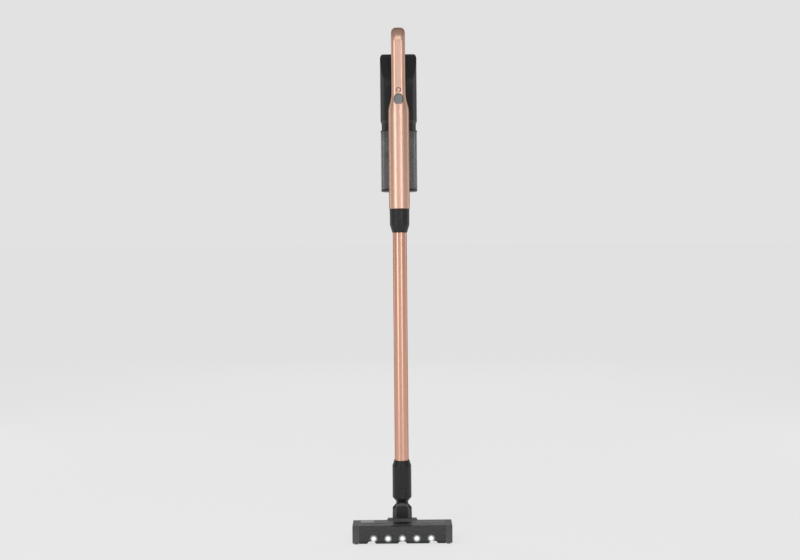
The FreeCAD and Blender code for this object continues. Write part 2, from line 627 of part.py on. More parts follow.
def open_path(body, stops):
    """Draw an open line of runs and tangent arcs on the body's YZ plane."""
    sketch = body.newObject("Sketcher::SketchObject", "path")
    origin = next(item for item in body.Origin.OriginFeatures if item.Role == "YZ_Plane")
    sketch.AttachmentSupport = [(origin, "")]
    sketch.MapMode = "FlatFace"
    points = [Vector(value(stop[0]), value(stop[1]), 0) for stop in stops]
    starts, ends = [points[0]], [None]
    for index in range(1, len(stops) - 1):
        here = points[index]
        before = (points[index - 1] - here).normalize()
        after = (points[index + 1] - here).normalize()
        trim = value(stops[index][2]) / tan(before.getAngle(after) / 2)
        ends.append(here + before * trim)
        starts.append(here + after * trim)
    ends.append(points[-1])
    for index in range(len(stops) - 1):
        sketch.addGeometry(Part.LineSegment(starts[index], ends[index + 1]), False)
    pin(sketch, 0, 1, stops[0], points[0])
    pin(sketch, len(stops) - 2, 2, stops[-1], points[-1])
    for index in range(1, len(stops) - 1):
        mark = add_arc(sketch, stops[index], points[index], ends[index], starts[index], index - 1, index)
        pin(sketch, mark, 1, stops[index], points[index])
    return sketch


def swept(section):
    """Sweep an outline, drawn at the path's foot, along the handle's centre line."""
    body = doc.addObject("PartDesign::Body", "body")
    path = handle_path(body)
    profile = sketch_on(body, "XY_Plane", section)
    profile.AttachmentOffset = Placement(Vector(0, 0, value(f"{GRIP_LOW} - 4")), Rotation())
    profile.setExpression("AttachmentOffset.Base.z", bind(f"{GRIP_LOW} - 4"))
    pipe = body.newObject("PartDesign::AdditivePipe", "pipe")
    pipe.Profile = profile
    pipe.Spine = (path, [])
    return place(body)


def handle():
    """The looped handle: a copper outer half round the outside and a soft grip inside the loop."""
    seam = "(grip_depth * 0.62 - grip_front)"
    wall = "shell_wall"
    room = fuse(rod((0, "motor_gap", f"{MOTOR_LOW} - 5"), "motor_radius", "motor_height + 5"), motor_dome())
    outer = swept([("-grip_half", "-grip_front", 11), ("-grip_half", seam), ("grip_half", seam),
                   ("grip_half", "-grip_front", 11)])
    inner = swept([(f"-grip_half + {wall}", f"-grip_front + {wall}", 8), (f"-grip_half + {wall}", f"{seam}"),
                   (f"grip_half - {wall}", f"{seam}"), (f"grip_half - {wall}", f"-grip_front + {wall}", 8)])
    flare_room = rod((0, 0, f"{SHOULDER} - 50"), "housing_radius + 3", f"{GRIP_LOW} - {SHOULDER} + 52")
    piece(cut(outer, inner, room, flare_room, ring_groove()), "handle_shell")
    soft = swept([("-grip_half + 0.4", seam), ("-grip_half + 0.4", "grip_depth - grip_front", 7),
                  ("grip_half - 0.4", "grip_depth - grip_front", 7), ("grip_half - 0.4", seam)])
    core = swept([(f"-grip_half + 3 * {wall}", seam), (f"-grip_half + 3 * {wall}", "grip_depth - grip_front - 3"),
                  (f"grip_half - 3 * {wall}", "grip_depth - grip_front - 3"), (f"grip_half - 3 * {wall}", seam)])
    piece(cut(soft, core, room, flare_room), "handle_grip")
    piece(tube((0, "-grip_front - 0.3", f"{GRIP_LOW} + 6"), 5.3, 4.3, 0.8, "Y"), "mode_ring")


def motor_dome():
    """The outside of the motor housing's domed top."""
    return turned([(0, MOTOR_HIGH), ("motor_radius", MOTOR_HIGH), ("motor_radius - 3", f"{MOTOR_HIGH} + motor_dome", 6),
                   (0, f"{MOTOR_HIGH} + motor_dome")], (0, "motor_gap", 0))


def controls():
    """The power button with its switch and board, and the battery lights."""
    middle = f"{SHOULDER} + 24"
    piece(cut(button_shape("0", 6.4), rod((0, 0, f"{SHOULDER} - 5"), "grip_front - 1.5", 60)), "power_button")
    switch = wide(3, ("-grip_front + 5", "-grip_front + 8"), (f"{middle} - 3", f"{middle} + 3"))
    board = wide(8, ("-grip_front + 8", "-grip_front + 9.6"), (f"{SHOULDER} - 4", f"{middle} + 8"))
    piece(fuse(switch, board), "control_board")
    lenses = [rod((x, f"-sqrt(housing_radius ^ 2 - {x} ^ 2) + 0.1", z), 1, 3, "Y") for x, z in light_spots()[:5]]
    piece(fuse(*lenses), "battery_lights")


def collar():
    """The black collar under the front housing: it takes the wand's upper end and holds its release rocker."""
    outline = [(0, COLLAR_LOW), ("wand_radius + 1.2", COLLAR_LOW),
               ("collar_radius - 0.4", f"{COLLAR_LOW} + collar_taper", 3), ("collar_radius", HOUSING_LOW),
               (0, HOUSING_LOW)]
    bore = rod((0, 0, f"{COLLAR_LOW} - 1"), BORE, "collar_depth + 1")
    neck_bore = rod((0, 0, f"{WAND_HIGH} - 1"), "wand_radius - wand_wall", 4)
    piece(cut(turned(outline), bore, neck_bore, key_room(COLLAR_KEY, "collar_radius - 0.1")), "wand_collar")
    release_key("wand_release_key", COLLAR_KEY, "collar_radius - 0.1")


def inlet():
    """The air duct: up from the collar, then back into the bin."""
    up = f"{INLET} - {HOUSING_LOW}"
    outer = [rod((0, 0, HOUSING_LOW), "inlet_radius + 1.5", up), ball((0, 0, INLET), "inlet_radius + 1.5"),
             rod((0, 0, INLET), "inlet_radius + 1.5", "motor_gap - motor_radius + bin_wall + 6", "Y")]
    inner = [rod((0, 0, f"{HOUSING_LOW} - 1"), "inlet_radius", f"{up} + 1"), ball((0, 0, INLET), "inlet_radius"),
             rod((0, 0, INLET), "inlet_radius", "motor_gap", "Y")]
    piece(cut(fuse(*outer), *inner), "inlet_duct")


def battery():
    """Four cells in two layers above the inlet, in a carrier, with the charging socket beside them."""
    low = f"({INLET} + inlet_radius + 6)"
    cells = [rod((f"{side} * (cell_radius + 0.4)", "-cell_radius + 4.4", f"{low} + {layer} * (cell_length + 1)"),
                 "cell_radius", "cell_length") for layer in range(2) for side in (-1, 1)]
    piece(fuse(*cells), "battery_cells")
    piece(wide("2 * cell_radius - 2.4", ("-cell_radius - 4", "cell_radius - 2"), (f"{low} - 2.5", f"{low} - 0.4")),
          "battery_carrier")
    socket = ("housing_radius - 8.6", 0, SOCKET)
    piece(fuse(cut(rod(socket, 4.1, 5, "X"), rod(("housing_radius - 7", *socket[1:]), 2.75, 6, "X")),
               rod(("housing_radius - 8", *socket[1:]), 1.05, 4.2, "X")), "charge_socket")


def dust_bin():
    """The clear bin with its cyclone, filter, hinged lid and latch."""
    centre = (0, "motor_gap")
    half = "motor_radius"
    hinge = ("motor_gap - motor_radius + 4.5", f"{LID_LOW} + 2.5")
    shell = tube((*centre, BIN_LOW), half, f"{half} - bin_wall", "bin_height")
    inlet_hole = rod((0, 0, INLET), "inlet_radius + 1.5", "motor_gap", "Y")
    knuckles = [box((f"{low}", f"{low} + 4"), (f"{hinge[0]} - 2.4", f"{hinge[0]} + 2.4"),
                    (f"{hinge[1]} - 2.4", f"{BIN_LOW} + 1")) for low in (9, -13)]
    hinge_hole = rod((-14, *hinge), 1.5, 28, "X")
    ears = [box((f"{low}", f"{low} + 2.6"), (f"motor_gap + {half} - 1.5", f"motor_gap + {half} + latch_depth"),
                (f"{BIN_LOW} + 9", f"{BIN_LOW} + 17")) for low in (7.4, -10)]
    latch = ("motor_gap + motor_radius + 2.8", f"{BIN_LOW} + 13")
    latch_hole = rod((-10.4, *latch), 1.08, 20.8, "X")
    piece(cut(fuse(shell, *knuckles, *ears), inlet_hole, hinge_hole, latch_hole), "dust_bin")
    piece(rod((-13, *hinge), 1.45, 26, "X"), "lid_hinge_pin")

    # The lid hangs on the pin; its back edge is thinned to a lip for the latch's hook.
    lid = turned([(0, LID_LOW), (f"{half} - 0.2", LID_LOW, 3.5), (f"{half} - 0.2", f"{LID_LOW} + lid_height"),
                  (0, f"{LID_LOW} + lid_height")], (*centre, 0))
    front = wide(half, (0, f"{hinge[0]} - 2.2"), (f"{LID_LOW} - 1", f"{BIN_LOW}"))
    gaps = [box((f"{low}", f"{low} + 4.8"), (f"{hinge[0]} - 3", f"{hinge[0]} + 3.8"),
                (f"{LID_LOW} - 1", f"{BIN_LOW}")) for low in (8.6, -13.4)]
    lip = wide(9, (f"motor_gap + {half} - 5", f"motor_gap + {half} + 1"), (f"{LID_LOW} + 1.6", f"{BIN_LOW}"))
    pin_hole = rod((-44, *hinge), 1.5, 88, "X")
    dish = rod((*centre, f"{LID_LOW} + 2.5"), f"{half} - 9", "lid_height")
    piece(cut(lid, front, *gaps, lip, pin_hole, dish), "bin_lid")
    piece(cut(tube((*centre, f"{LID_LOW} + lid_height"), f"{half} - 5.4", f"{half} - 8.4", 0.8),
              wide(14, (0, f"{hinge[0]} + 4"), (f"{LID_LOW}", f"{BIN_LOW}"))), "lid_seal")

    # The latch is a rocker on the back: its upper end is pressed in, its hook swings out from under the lip.
    plate = wide(7, (f"motor_gap + {half} + 1.6", f"motor_gap + {half} + latch_depth"), (f"{LID_LOW} - 2.3", f"{BIN_LOW} + 21"))
    hook = wide(6, (f"motor_gap + {half} - 3", f"motor_gap + {half} + 2"), (f"{LID_LOW} - 2.3", f"{LID_LOW} - 0.3"))
    piece(fuse(plate, hook, rod((-10, *latch), 1, 20, "X")), "lid_latch")

    # Inside: a mesh shroud over a cone, and a pleated filter above.
    top = BIN_HIGH
    piece(tube((*centre, f"{top} - 62"), "motor_radius - 18", "motor_radius - 20", 50), "mesh_shroud")
    piece(cut(cone((*centre, f"{top} - 94"), "motor_radius - 30", "motor_radius - 18", 32),
              cone((*centre, f"{top} - 94.1"), "motor_radius - 32", "motor_radius - 20", 32.2)), "cyclone_cone")
    piece(cut(rod((*centre, f"{top} - 12"), "motor_radius - bin_wall - 0.2", 12),
              rod((*centre, f"{top} - 9"), "motor_radius - 8", 10),
              rod((*centre, f"{top} - 13"), "motor_radius - 22", 5)), "filter_frame")
    pleats = turned([("motor_radius - 24", f"{top} - 8.8"), ("motor_radius - 8.4", f"{top} - 8.8"),
                     ("motor_radius - 8.4", f"{top} - 0.5"), ("motor_radius - 24", f"{top} - 0.5")], (*centre, 0))
    piece(pleats, "pre_filter")


def motor():
    """The motor housing over the bin, with the fan, the motor and the exhaust filter."""
    centre = (0, "motor_gap")
    wall = "shell_wall"
    dome = f"{MOTOR_HIGH} + motor_dome"
    outline = [(0, BIN_HIGH), ("motor_radius", BIN_HIGH), ("motor_radius", MOTOR_LOW),
               ("motor_radius - 2.5", MOTOR_LOW), ("motor_radius - 2.5", f"{MOTOR_LOW} + 16", 6),
               ("motor_radius", f"{MOTOR_LOW} + 22", 6), ("motor_radius", MOTOR_HIGH),
               ("motor_radius - 3", dome, 6), (0, dome)]
    inside = [(0, f"{BIN_HIGH} - 1"), (f"motor_radius - 2.5 - {wall}", f"{BIN_HIGH} - 1"),
              (f"motor_radius - 2.5 - {wall}", MOTOR_HIGH), (f"motor_radius - 8", f"{dome} - {wall}"),
              (0, f"{dome} - {wall}")]
    face = [(0, f"{MOTOR_LOW} + 54"), ("motor_gap - 37.5", f"{MOTOR_LOW} + 54"),
            ("motor_gap - 32.5", f"{MOTOR_LOW} + 106", 110), ("motor_gap + 0.5", f"{MOTOR_HIGH} + 5"),
            ("motor_gap + 5", f"{MOTOR_HIGH} + 25"), (0, f"{MOTOR_HIGH} + 25")]
    low_edge, high_edge = f"{MOTOR_LOW} + 30", f"{MOTOR_HIGH} + 25"
    behind = [(f"{across} + {wall} + 0.3", up, *more) for across, up, *more in face[1:5]]
    behind = [(0, low_edge), (behind[0][0], low_edge), *behind[1:], (0, high_edge)]
    scoop = padded("YZ_Plane", face, "motor_radius + 5")
    backing = padded("YZ_Plane", behind, "motor_radius + 5")
    slots = [exhaust_slot(step) for step in range(-6, 7)]
    bracket = wide(8, (0, "motor_gap - 30"), (f"{MOTOR_LOW} + 25", f"{MOTOR_LOW} + 50"))
    cavity = cut(turned(inside, (*centre, 0)), backing)
    piece(cut(turned(outline, (*centre, 0)), scoop, cavity, bracket, *slots), "motor_housing")
    piece(wide(8, ("housing_radius - 8", "motor_gap - motor_radius + 5"), (f"{MOTOR_LOW} + 25", f"{MOTOR_LOW} + 50")),
          "spine_bracket")

    low = f"({MOTOR_LOW} + 10)"
    piece(cut(rod((*centre, f"{low} - 10"), f"motor_radius - 5.2", 4), rod((*centre, f"{low} - 11"), 12, 6)),
          "fan_inlet_plate")
    blades = [fan_blade(step) for step in range(9)]
    hub = cut(fuse(rod((*centre, low), "fan_radius", 1.6), rod((*centre, low), 6, 12), *blades),
              rod((*centre, f"{low} - 1"), 2.5, 20))
    piece(hub, "fan_wheel")
    piece(cut(rod((*centre, f"{low} + 20"), "can_radius", 44), rod((*centre, f"{low} + 19"), 10, 46)), "motor_can")
    piece(fuse(rod((*centre, f"{low} + 26"), 9, 32), rod((*centre, f"{low} - 1"), 2.5, 72)), "motor_rotor")
    bearings = [cut(rod((*centre, f"{low} + {start}"), 10, 4), rod((*centre, f"{low} + {start} - 1"), 2.58, 6))
                for start in (20, 60)]
    piece(fuse(*bearings), "motor_bearings")
    ring = cut(rod((*centre, f"{low} + 28"), "motor_radius - 5.2", 4), rod((*centre, f"{low} + 27"), "can_radius", 6),
               backing)
    piece(ring, "motor_mount")
    exhaust = cut(rod((*centre, f"{low} + 84"), "motor_radius - 5.4", 30), rod((*centre, f"{low} + 83"), 22, 32),
                  backing)
    piece(exhaust, "exhaust_filter")


def exhaust_slot(step):
    """One upright slot in the back of the motor housing, a small turn from the next."""
    slot = box((0, "motor_radius + 3"), (-1.4, 1.4), (f"{MOTOR_LOW} + 95", f"{MOTOR_LOW} + 125"))
    turn = Rotation(Vector(0, 0, 1), 90 + 9 * step)
    offset = turn.multVec(Vector(0, -1.4, 0))
    slot.setExpression("Placement.Base.x", str(offset.x))
    slot.setExpression("Placement.Base.y", bind(f"{WAND_Y} + motor_gap + {offset.y}"))
    slot.Placement = Placement(slot.Placement.Base, turn)
    return slot


def fan_blade(step):
    """One straight blade on the fan's back plate."""
    blade = box((6, "fan_radius - 0.5"), (-0.5, 0.5), (f"{MOTOR_LOW} + 11", f"{MOTOR_LOW} + 21"))
    turn = Rotation(Vector(0, 0, 1), 40 * step)
    start = turn.multVec(Vector(5.5, 0, 0))
    blade.setExpression("Placement.Base.x", str(start.x))
    blade.setExpression("Placement.Base.y", bind(f"{WAND_Y} + motor_gap + {start.y}"))
    blade.Placement = Placement(blade.Placement.Base, turn)
    return blade


def write_parts():
    """Recompute the document, check every object and write each sub-part to its own file."""
    doc.recompute()
    for thing in doc.Objects:
        if "Invalid" in thing.State or "Error" in thing.State:
            raise RuntimeError(f"{thing.Name} ({thing.Label}) failed: {thing.State}")
    os.makedirs("parts", exist_ok=True)
    for thing in nodes:
        shape = thing.Shape
        if shape.isNull() or not shape.isValid() or shape.Volume < 1:
            raise RuntimeError(f"{thing.Label} has no valid solid")
        shape.exportStep(f"parts/{thing.Label}.step")
        print(f"{thing.Label:24} {len(shape.Solids)} solid, {shape.Volume / 1000:9.2f} cm3")
    print(f"{len(nodes)} nodes")


floor_head()
yoke()
neck()
wand()
front_housing()
handle()
controls()
collar()
inlet()
battery()
dust_bin()
motor()
write_parts()
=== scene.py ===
"""Cordless stick vacuum: the visible shells, fine pieces and finishes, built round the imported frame.

The file is laid out as an add-on.  Each operator makes one piece or group of like pieces, and main() calls
them in order.  Everything is in metres, +Z up, with the lit front of the nozzle towards -Y.
"""

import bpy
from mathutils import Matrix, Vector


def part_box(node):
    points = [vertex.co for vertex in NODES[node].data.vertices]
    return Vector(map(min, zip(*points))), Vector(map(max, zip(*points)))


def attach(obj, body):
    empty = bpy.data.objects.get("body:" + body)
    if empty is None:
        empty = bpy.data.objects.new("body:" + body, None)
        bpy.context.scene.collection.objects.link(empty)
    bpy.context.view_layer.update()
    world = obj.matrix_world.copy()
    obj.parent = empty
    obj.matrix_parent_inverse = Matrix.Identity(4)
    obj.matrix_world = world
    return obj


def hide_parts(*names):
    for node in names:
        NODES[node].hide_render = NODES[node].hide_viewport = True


bl_info = {
    "name": "Stick Vacuum Builder",
    "version": (1, 0, 0),
    "blender": (4, 5, 0),
    "location": "View3D > Sidebar > Vacuum",
    "description": "Builds a cordless stick vacuum's shells, trim and finishes round its frame",
    "category": "Add Mesh",
}

from math import cos, pi, radians, sin

import bmesh
import bpy
import numpy as np
from bpy.props import FloatProperty, FloatVectorProperty, IntProperty, PointerProperty
from bpy.types import Operator, Panel, PropertyGroup
from mathutils import Euler, Vector

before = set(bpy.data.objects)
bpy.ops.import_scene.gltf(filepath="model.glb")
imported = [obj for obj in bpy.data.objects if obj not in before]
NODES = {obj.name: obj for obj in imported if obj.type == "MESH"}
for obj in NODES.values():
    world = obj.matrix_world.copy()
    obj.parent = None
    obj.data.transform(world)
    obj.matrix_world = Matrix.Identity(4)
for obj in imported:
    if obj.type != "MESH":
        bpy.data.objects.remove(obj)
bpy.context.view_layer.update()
TURN = 2 * pi


# ---- places read from the frame --------------------------------------------------------------------------

def low(node, axis):
    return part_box(node)[0][axis]


def high(node, axis):
    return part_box(node)[1][axis]


def middle(node, axis):
    return (low(node, axis) + high(node, axis)) / 2


def span(node, axis):
    return high(node, axis) - low(node, axis)


def centre_of(node):
    return tuple(middle(node, axis) for axis in range(3))


WAND_Y = middle("wand_tube", 1)
BIN_Y = middle("motor_can", 1)
WAND_RADIUS = span("wand_tube", 0) / 2
HOUSING_RADIUS = span("front_housing", 0) / 2
HOUSING_LOW = low("front_housing", 2)
MOTOR_RADIUS = span("motor_housing", 0) / 2
GRIP_LOW = low("handle_shell", 2)
GRIP_HALF = span("handle_shell", 0) / 2
GRIP_FRONT = low("handle_shell", 1) - WAND_Y


# ---- sizes and colours that a user would change ----------------------------------------------------------

def length(name, description, value):
    return FloatProperty(name=name, description=description, default=value, subtype="DISTANCE", unit="LENGTH")


def colour(name, description, value):
    return FloatVectorProperty(name=name, description=description, default=value, subtype="COLOR", min=0,
                               max=1)


def count(name, description, value):
    return IntProperty(name=name, description=description, default=value, min=1)


class VacuumShell(PropertyGroup):
    """The copper shell, the handle and what is set in them."""

    flare_low: length("Flare foot", "Distance from the housing's foot to where it starts to narrow", 0.223)
    flare_high: length("Flare top", "Distance from the housing's foot to where the handle begins", 0.262)
    recess_gap: length("Recess gap", "Gap between the housing and the bin behind it", 0.0003)
    copper: colour("Copper", "Lacquer on the housing and the handle", (0.83, 0.53, 0.41))
    tube_copper: colour("Tube copper", "Anodised wand", (0.80, 0.46, 0.345))
    button_grey: colour("Button grey", "Power button", (0.185, 0.188, 0.192))


class VacuumHead(PropertyGroup):
    """The nozzle, its brush and its lights."""

    bristle_rows: count("Bristle rows", "Helical rows of bristles round the brush", 6)
    bristle_turns: FloatProperty(name="Bristle turns", description="Turns of a row along the brush",
                                 default=0.8)
    groove_width: length("Groove width", "Width of the grooves across the nozzle's top", 0.0011)
    light_power: FloatProperty(name="Light power", description="Strength of the nozzle's lights", default=7.0)
    charcoal: colour("Charcoal", "Moulded plastic of the nozzle", (0.076, 0.076, 0.077))
    strip_grey: colour("Strip grey", "The nozzle's top strip", (0.150, 0.150, 0.153))


class VacuumStudio(PropertyGroup):
    """The camera and the lights."""

    distance: length("Camera distance", "From the wand's axis to the camera", 2.199)
    height: length("Camera height", "Above the floor", 0.70)
    pitch: FloatProperty(name="Pitch", description="Downward tilt", default=radians(1.74), subtype="ANGLE")
    roll: FloatProperty(name="Roll", description="Tilt about the line of sight", default=radians(-0.52),
                        subtype="ANGLE")
    lens: FloatProperty(name="Lens", description="Focal length in millimetres", default=42.93)
    shift: FloatProperty(name="Shift", description="Upward shift of the frame", default=-0.02)
    pale: colour("Backdrop", "Floor and backdrop", (0.76, 0.76, 0.76))
    floor_tone: colour("Floor tone", "How much of the lamps' light the floor gives back", (0.22, 0.22, 0.22))
    backdrop_glow: FloatProperty(name="Backdrop glow", description="Even light of the floor itself",
                                 default=0.90)
    room_light: FloatProperty(name="Room light", description="Strength of the even room light", default=0.30)


# ---- shader maths ----------------------------------------------------------------------------------------

def math_method(operation, swapped=False):
    """A method of Value that adds one Math node."""
    def method(self, other):
        values = (other, self) if swapped else (self, other)
        return self.finish.add("Math", {"operation": operation}, *values)
    return method


class Value:
    """A number in a node tree.  Arithmetic on it adds the Math nodes that work it out."""

    def __init__(self, finish, socket):
        self.finish = finish
        self.socket = socket

    __add__ = math_method("ADD")
    __radd__ = math_method("ADD", swapped=True)
    __sub__ = math_method("SUBTRACT")
    __rsub__ = math_method("SUBTRACT", swapped=True)
    __mul__ = math_method("MULTIPLY")
    __rmul__ = math_method("MULTIPLY", swapped=True)
    __lt__ = math_method("LESS_THAN")


class Finish:
    """A material built from nodes round one Principled shader."""

    def __init__(self, name, colour=(0.5, 0.5, 0.5), roughness=0.5, metallic=0.0, **settings):
        self.material = bpy.data.materials.new(name)
        self.material.use_nodes = True
        self.tree = self.material.node_tree
        self.tree.nodes.clear()
        self.shader = self.tree.nodes.new("ShaderNodeBsdfPrincipled")
        output = self.tree.nodes.new("ShaderNodeOutputMaterial")
        self.tree.links.new(self.shader.outputs[0], output.inputs["Surface"])
        self.set("Base Color", colour)
        self.set("Roughness", roughness)
        self.set("Metallic", metallic)
        for socket, value in settings.items():
            self.set(socket.replace("_", " ").title().replace("Ior", "IOR"), value)

    def feed(self, socket, value):
        """Put a number, a colour or a link into a node's socket."""
        if isinstance(value, Value):
            self.tree.links.new(value.socket, socket)
        elif isinstance(value, (tuple, list)) and len(value) == 3 and len(socket.default_value) == 4:
            socket.default_value = (*value, 1.0)
        else:
            socket.default_value = value

    def set(self, name, value):
        self.feed(self.shader.inputs[name], value)

    def add(self, kind, settings=None, *values, output=0, **named):
        """Add a node, set its settings first and then its sockets, and return one of its outputs."""
        node = self.tree.nodes.new("ShaderNode" + kind)
        for setting, value in (settings or {}).items():
            setattr(node, setting, value)
        for index, value in enumerate(values):
            self.feed(node.inputs[index], value)
        for name, value in named.items():
            self.feed(node.inputs[name.replace("_", " ")], value)
        return Value(self, node.outputs[output])

    def place(self, scale=(1, 1, 1), turn=(0, 0, 0)):
        """Object coordinates, scaled and turned."""
        return self.add("Mapping", Vector=self.add("TexCoord", output=3), Rotation=turn, Scale=scale)

    def noise(self, scale, detail):
        """Noise on the object's coordinates.  Three scales, one for each axis, stretch it."""
        stretched = isinstance(scale, tuple)
        vector = self.place(scale) if stretched else self.place()
        return self.add("TexNoise", Vector=vector, Scale=1.0 if stretched else scale, Detail=detail)

    def tint(self, amount, shade, darker, lighter):
        """Vary the base colour between a darker and a lighter tone of a shade."""
        self.set("Base Color", self.blend(amount, scaled(shade, darker), scaled(shade, lighter)))

    def blend(self, amount, first, second):
        """Mix two colours by an amount."""
        node = self.tree.nodes.new("ShaderNodeMix")
        node.data_type = "RGBA"
        self.feed(node.inputs[0], amount)
        self.feed(node.inputs[6], first)
        self.feed(node.inputs[7], second)
        return Value(self, node.outputs[2])

    def bump(self, height, strength, distance):
        self.set("Normal", self.add("Bump", {}, Strength=strength, Distance=distance, Height=height))


def scaled(shade, amount):
    return tuple(min(1.0, part * amount) for part in shade)


def moulded(name, shade, roughness=0.45, grain=0.35, size=1800, **settings):
    """Moulded plastic: a fine spark-eroded grain, faint flow marks and a little handling polish."""
    finish = Finish(name, shade, roughness, **settings)
    fine = finish.noise(size, 3)
    flow = finish.noise((14, 14, 5), 3)
    finish.tint(flow, shade, 0.86, 1.14)
    finish.set("Roughness", flow * 0.12 + (fine * 0.08 + (roughness - 0.1)))
    finish.bump(fine, grain, 0.00006)
    return finish.material


def lacquer(name, shade):
    """Metallic lacquer: tiny flakes under a clear satin coat, with a faint orange peel."""
    finish = Finish(name, shade, 0.3, 0.94, specular_tint=scaled(shade, 0.45), coat_weight=0.12,
                    coat_roughness=0.2)
    flakes = finish.add("TexVoronoi", Vector=finish.place(), Scale=2600.0, output=1)
    sparkle = finish.add("RGBToBW", {}, flakes)
    cloud = finish.noise((9, 9, 3), 2)
    finish.tint(sparkle * 0.5 + cloud * 0.5, shade, 0.93, 1.07)
    finish.set("Roughness", sparkle * 0.07 + cloud * 0.05 + 0.29)
    peel = finish.noise(420.0, 2)
    finish.bump(peel, 0.08, 0.00005)
    return finish.material


def anodised(name, shade):
    """Anodised tube: fine lines drawn along its length and an anisotropic shine."""
    finish = Finish(name, shade, 0.3, 1.0, specular_tint=scaled(shade, 0.45), anisotropic=0.8,
                    anisotropic_rotation=0.25)
    lines = finish.noise((2600, 2600, 12), 3)
    bands = finish.noise((60, 60, 2), 2)
    finish.tint(lines * 0.6 + bands * 0.4, shade, 0.92, 1.07)
    finish.set("Roughness", lines * 0.14 + bands * 0.06 + 0.2)
    finish.bump(lines, 0.06, 0.00003)
    return finish.material


def metal(name, shade, roughness=0.3):
    """Ground or turned metal with a fine uneven shine."""
    finish = Finish(name, shade, roughness, 1.0)
    grain = finish.noise((300, 300, 300), 4)
    finish.set("Roughness", grain * 0.2 + (roughness - 0.1))
    finish.bump(grain, 0.1, 0.00004)
    return finish.material


def clear_plastic(name, shade, roughness=0.04, alpha=0.4, dust=0.0):
    """Smoked clear plastic: see-through, with faint dust and wiped streaks that catch the light."""
    finish = Finish(name, shade, roughness, ior=1.5, coat_weight=0.3, coat_roughness=0.03)
    haze = finish.noise((22, 22, 9), 4)
    streaks = finish.noise((240, 240, 18), 3)
    veil = haze * streaks
    finish.set("Roughness", veil * 0.25 + roughness)
    finish.set("Alpha", veil * dust + alpha)
    finish.material.surface_render_method = "BLENDED"
    return finish.material


def soft_rubber(name, shade, roughness=0.62):
    """Soft-touch rubber with a velvety edge and a fine skin."""
    finish = Finish(name, shade, roughness, sheen_weight=0.25, sheen_roughness=0.4)
    skin = finish.noise(1400.0, 4)
    wear = finish.noise((30, 30, 30), 3)
    finish.tint(wear, shade, 0.85, 1.25)
    finish.set("Roughness", wear * 0.12 + skin * 0.05 + (roughness - 0.08))
    finish.bump(skin, 0.25, 0.00006)
    return finish.material


def glowing(name, shade, power):
    """A lit lens with a frosted face."""
    finish = Finish(name, (0.9, 0.92, 0.95), 0.25)
    frost = finish.noise(900.0, 2)
    finish.set("Emission Color", finish.blend(frost, scaled(shade, 0.9), shade))
    finish.set("Emission Strength", power)
    finish.bump(frost, 0.2, 0.0001)
    return finish.material


def fibres(name, shade, tip):
    """Nylon bristles: a dark and a pale tone mixed by stretched noise, split into tufts."""
    finish = Finish(name, shade, 0.6, sheen_weight=0.3)
    tufts = finish.noise((900, 260, 260), 2)
    finish.set("Base Color", finish.blend(tufts, shade, tip))
    finish.bump(tufts, 0.6, 0.0004)
    return finish.material


def pleated(name, shade):
    """Filter paper: fibrous, slightly dusty in its folds."""
    finish = Finish(name, shade, 0.9)
    pulp = finish.noise(700.0, 5)
    dust = finish.noise((40, 40, 40), 3)
    finish.set("Base Color", finish.blend(dust, scaled(shade, 0.72), shade))
    finish.bump(pulp, 0.4, 0.0002)
    return finish.material


def perforated(name, shade, hole):
    """Sheet steel with small scattered holes; their near-black colour is painted shade of their inside."""
    finish = Finish(name, shade, 0.35, 0.9)
    dots = finish.add("TexVoronoi", Vector=finish.place(), Scale=520.0)
    holes_painted_dark = dots < 0.36
    # Painted shade: the holes are coloured near black and lose the metal's shine.
    finish.set("Base Color", finish.blend(holes_painted_dark, shade, hole))
    finish.set("Metallic", 0.9 - holes_painted_dark * 0.8)
    finish.bump(1.0 - holes_painted_dark, 0.5, 0.0003)
    return finish.material


def circuit_board(name):
    """Green solder mask with copper traces and pads."""
    finish = Finish(name, (0.02, 0.16, 0.07), 0.35)
    traces = finish.add("TexBrick", Vector=finish.place((1, 1, 1), (radians(90), 0, 0)), Scale=180.0,
                        Color1=(0.02, 0.16, 0.07), Color2=(0.03, 0.2, 0.09), Mortar=(0.05, 0.28, 0.12))
    finish.set("Base Color", traces)
    return finish.material


# ---- surfaces --------------------------------------------------------------------------------------------

def join(name, grids, body="handheld", finish=None, slot=None, stands_for=(), along=False):
    """Make one piece from grids of points, rows along and columns around, and hang it on its body.

    Each grid closes on itself around.  If along is true it closes end to end too; if not, both end rings
    are capped.  Faces are turned outwards.
    """
    corners, faces = [], []
    for points in grids:
        rows, columns = points.shape[:2]
        index = np.arange(rows * columns).reshape(rows, columns) + len(corners)
        near = index if along else index[:-1]
        far = np.roll(index, -1, axis=0) if along else index[1:]
        quads = np.stack([near, np.roll(near, -1, axis=1), np.roll(far, -1, axis=1), far], axis=-1)
        faces += quads.reshape(-1, 4).tolist()
        if not along:
            faces += [index[0][::-1].tolist(), index[-1].tolist()]
        corners += points.reshape(-1, 3).tolist()
    mesh = bpy.data.meshes.new(name)
    mesh.from_pydata(corners, [], faces)
    mesh.validate()
    mesh.shade_smooth()
    piece = bpy.data.objects.new(name, mesh)
    bpy.context.scene.collection.objects.link(piece)
    work = bmesh.new()
    work.from_mesh(mesh)
    bmesh.ops.remove_doubles(work, verts=work.verts, dist=1e-7)
    bmesh.ops.recalc_face_normals(work, faces=work.faces)
    work.to_mesh(mesh)
    work.free()
    mesh.set_sharp_from_angle(angle=radians(40))
    if finish:
        mesh.materials.append(finish)
    if stands_for:
        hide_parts(*stands_for)
    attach(piece, body)
    return piece


def lay(name, points, **settings):
    """Make a piece from a single grid of points."""
    return join(name, [points], **settings)


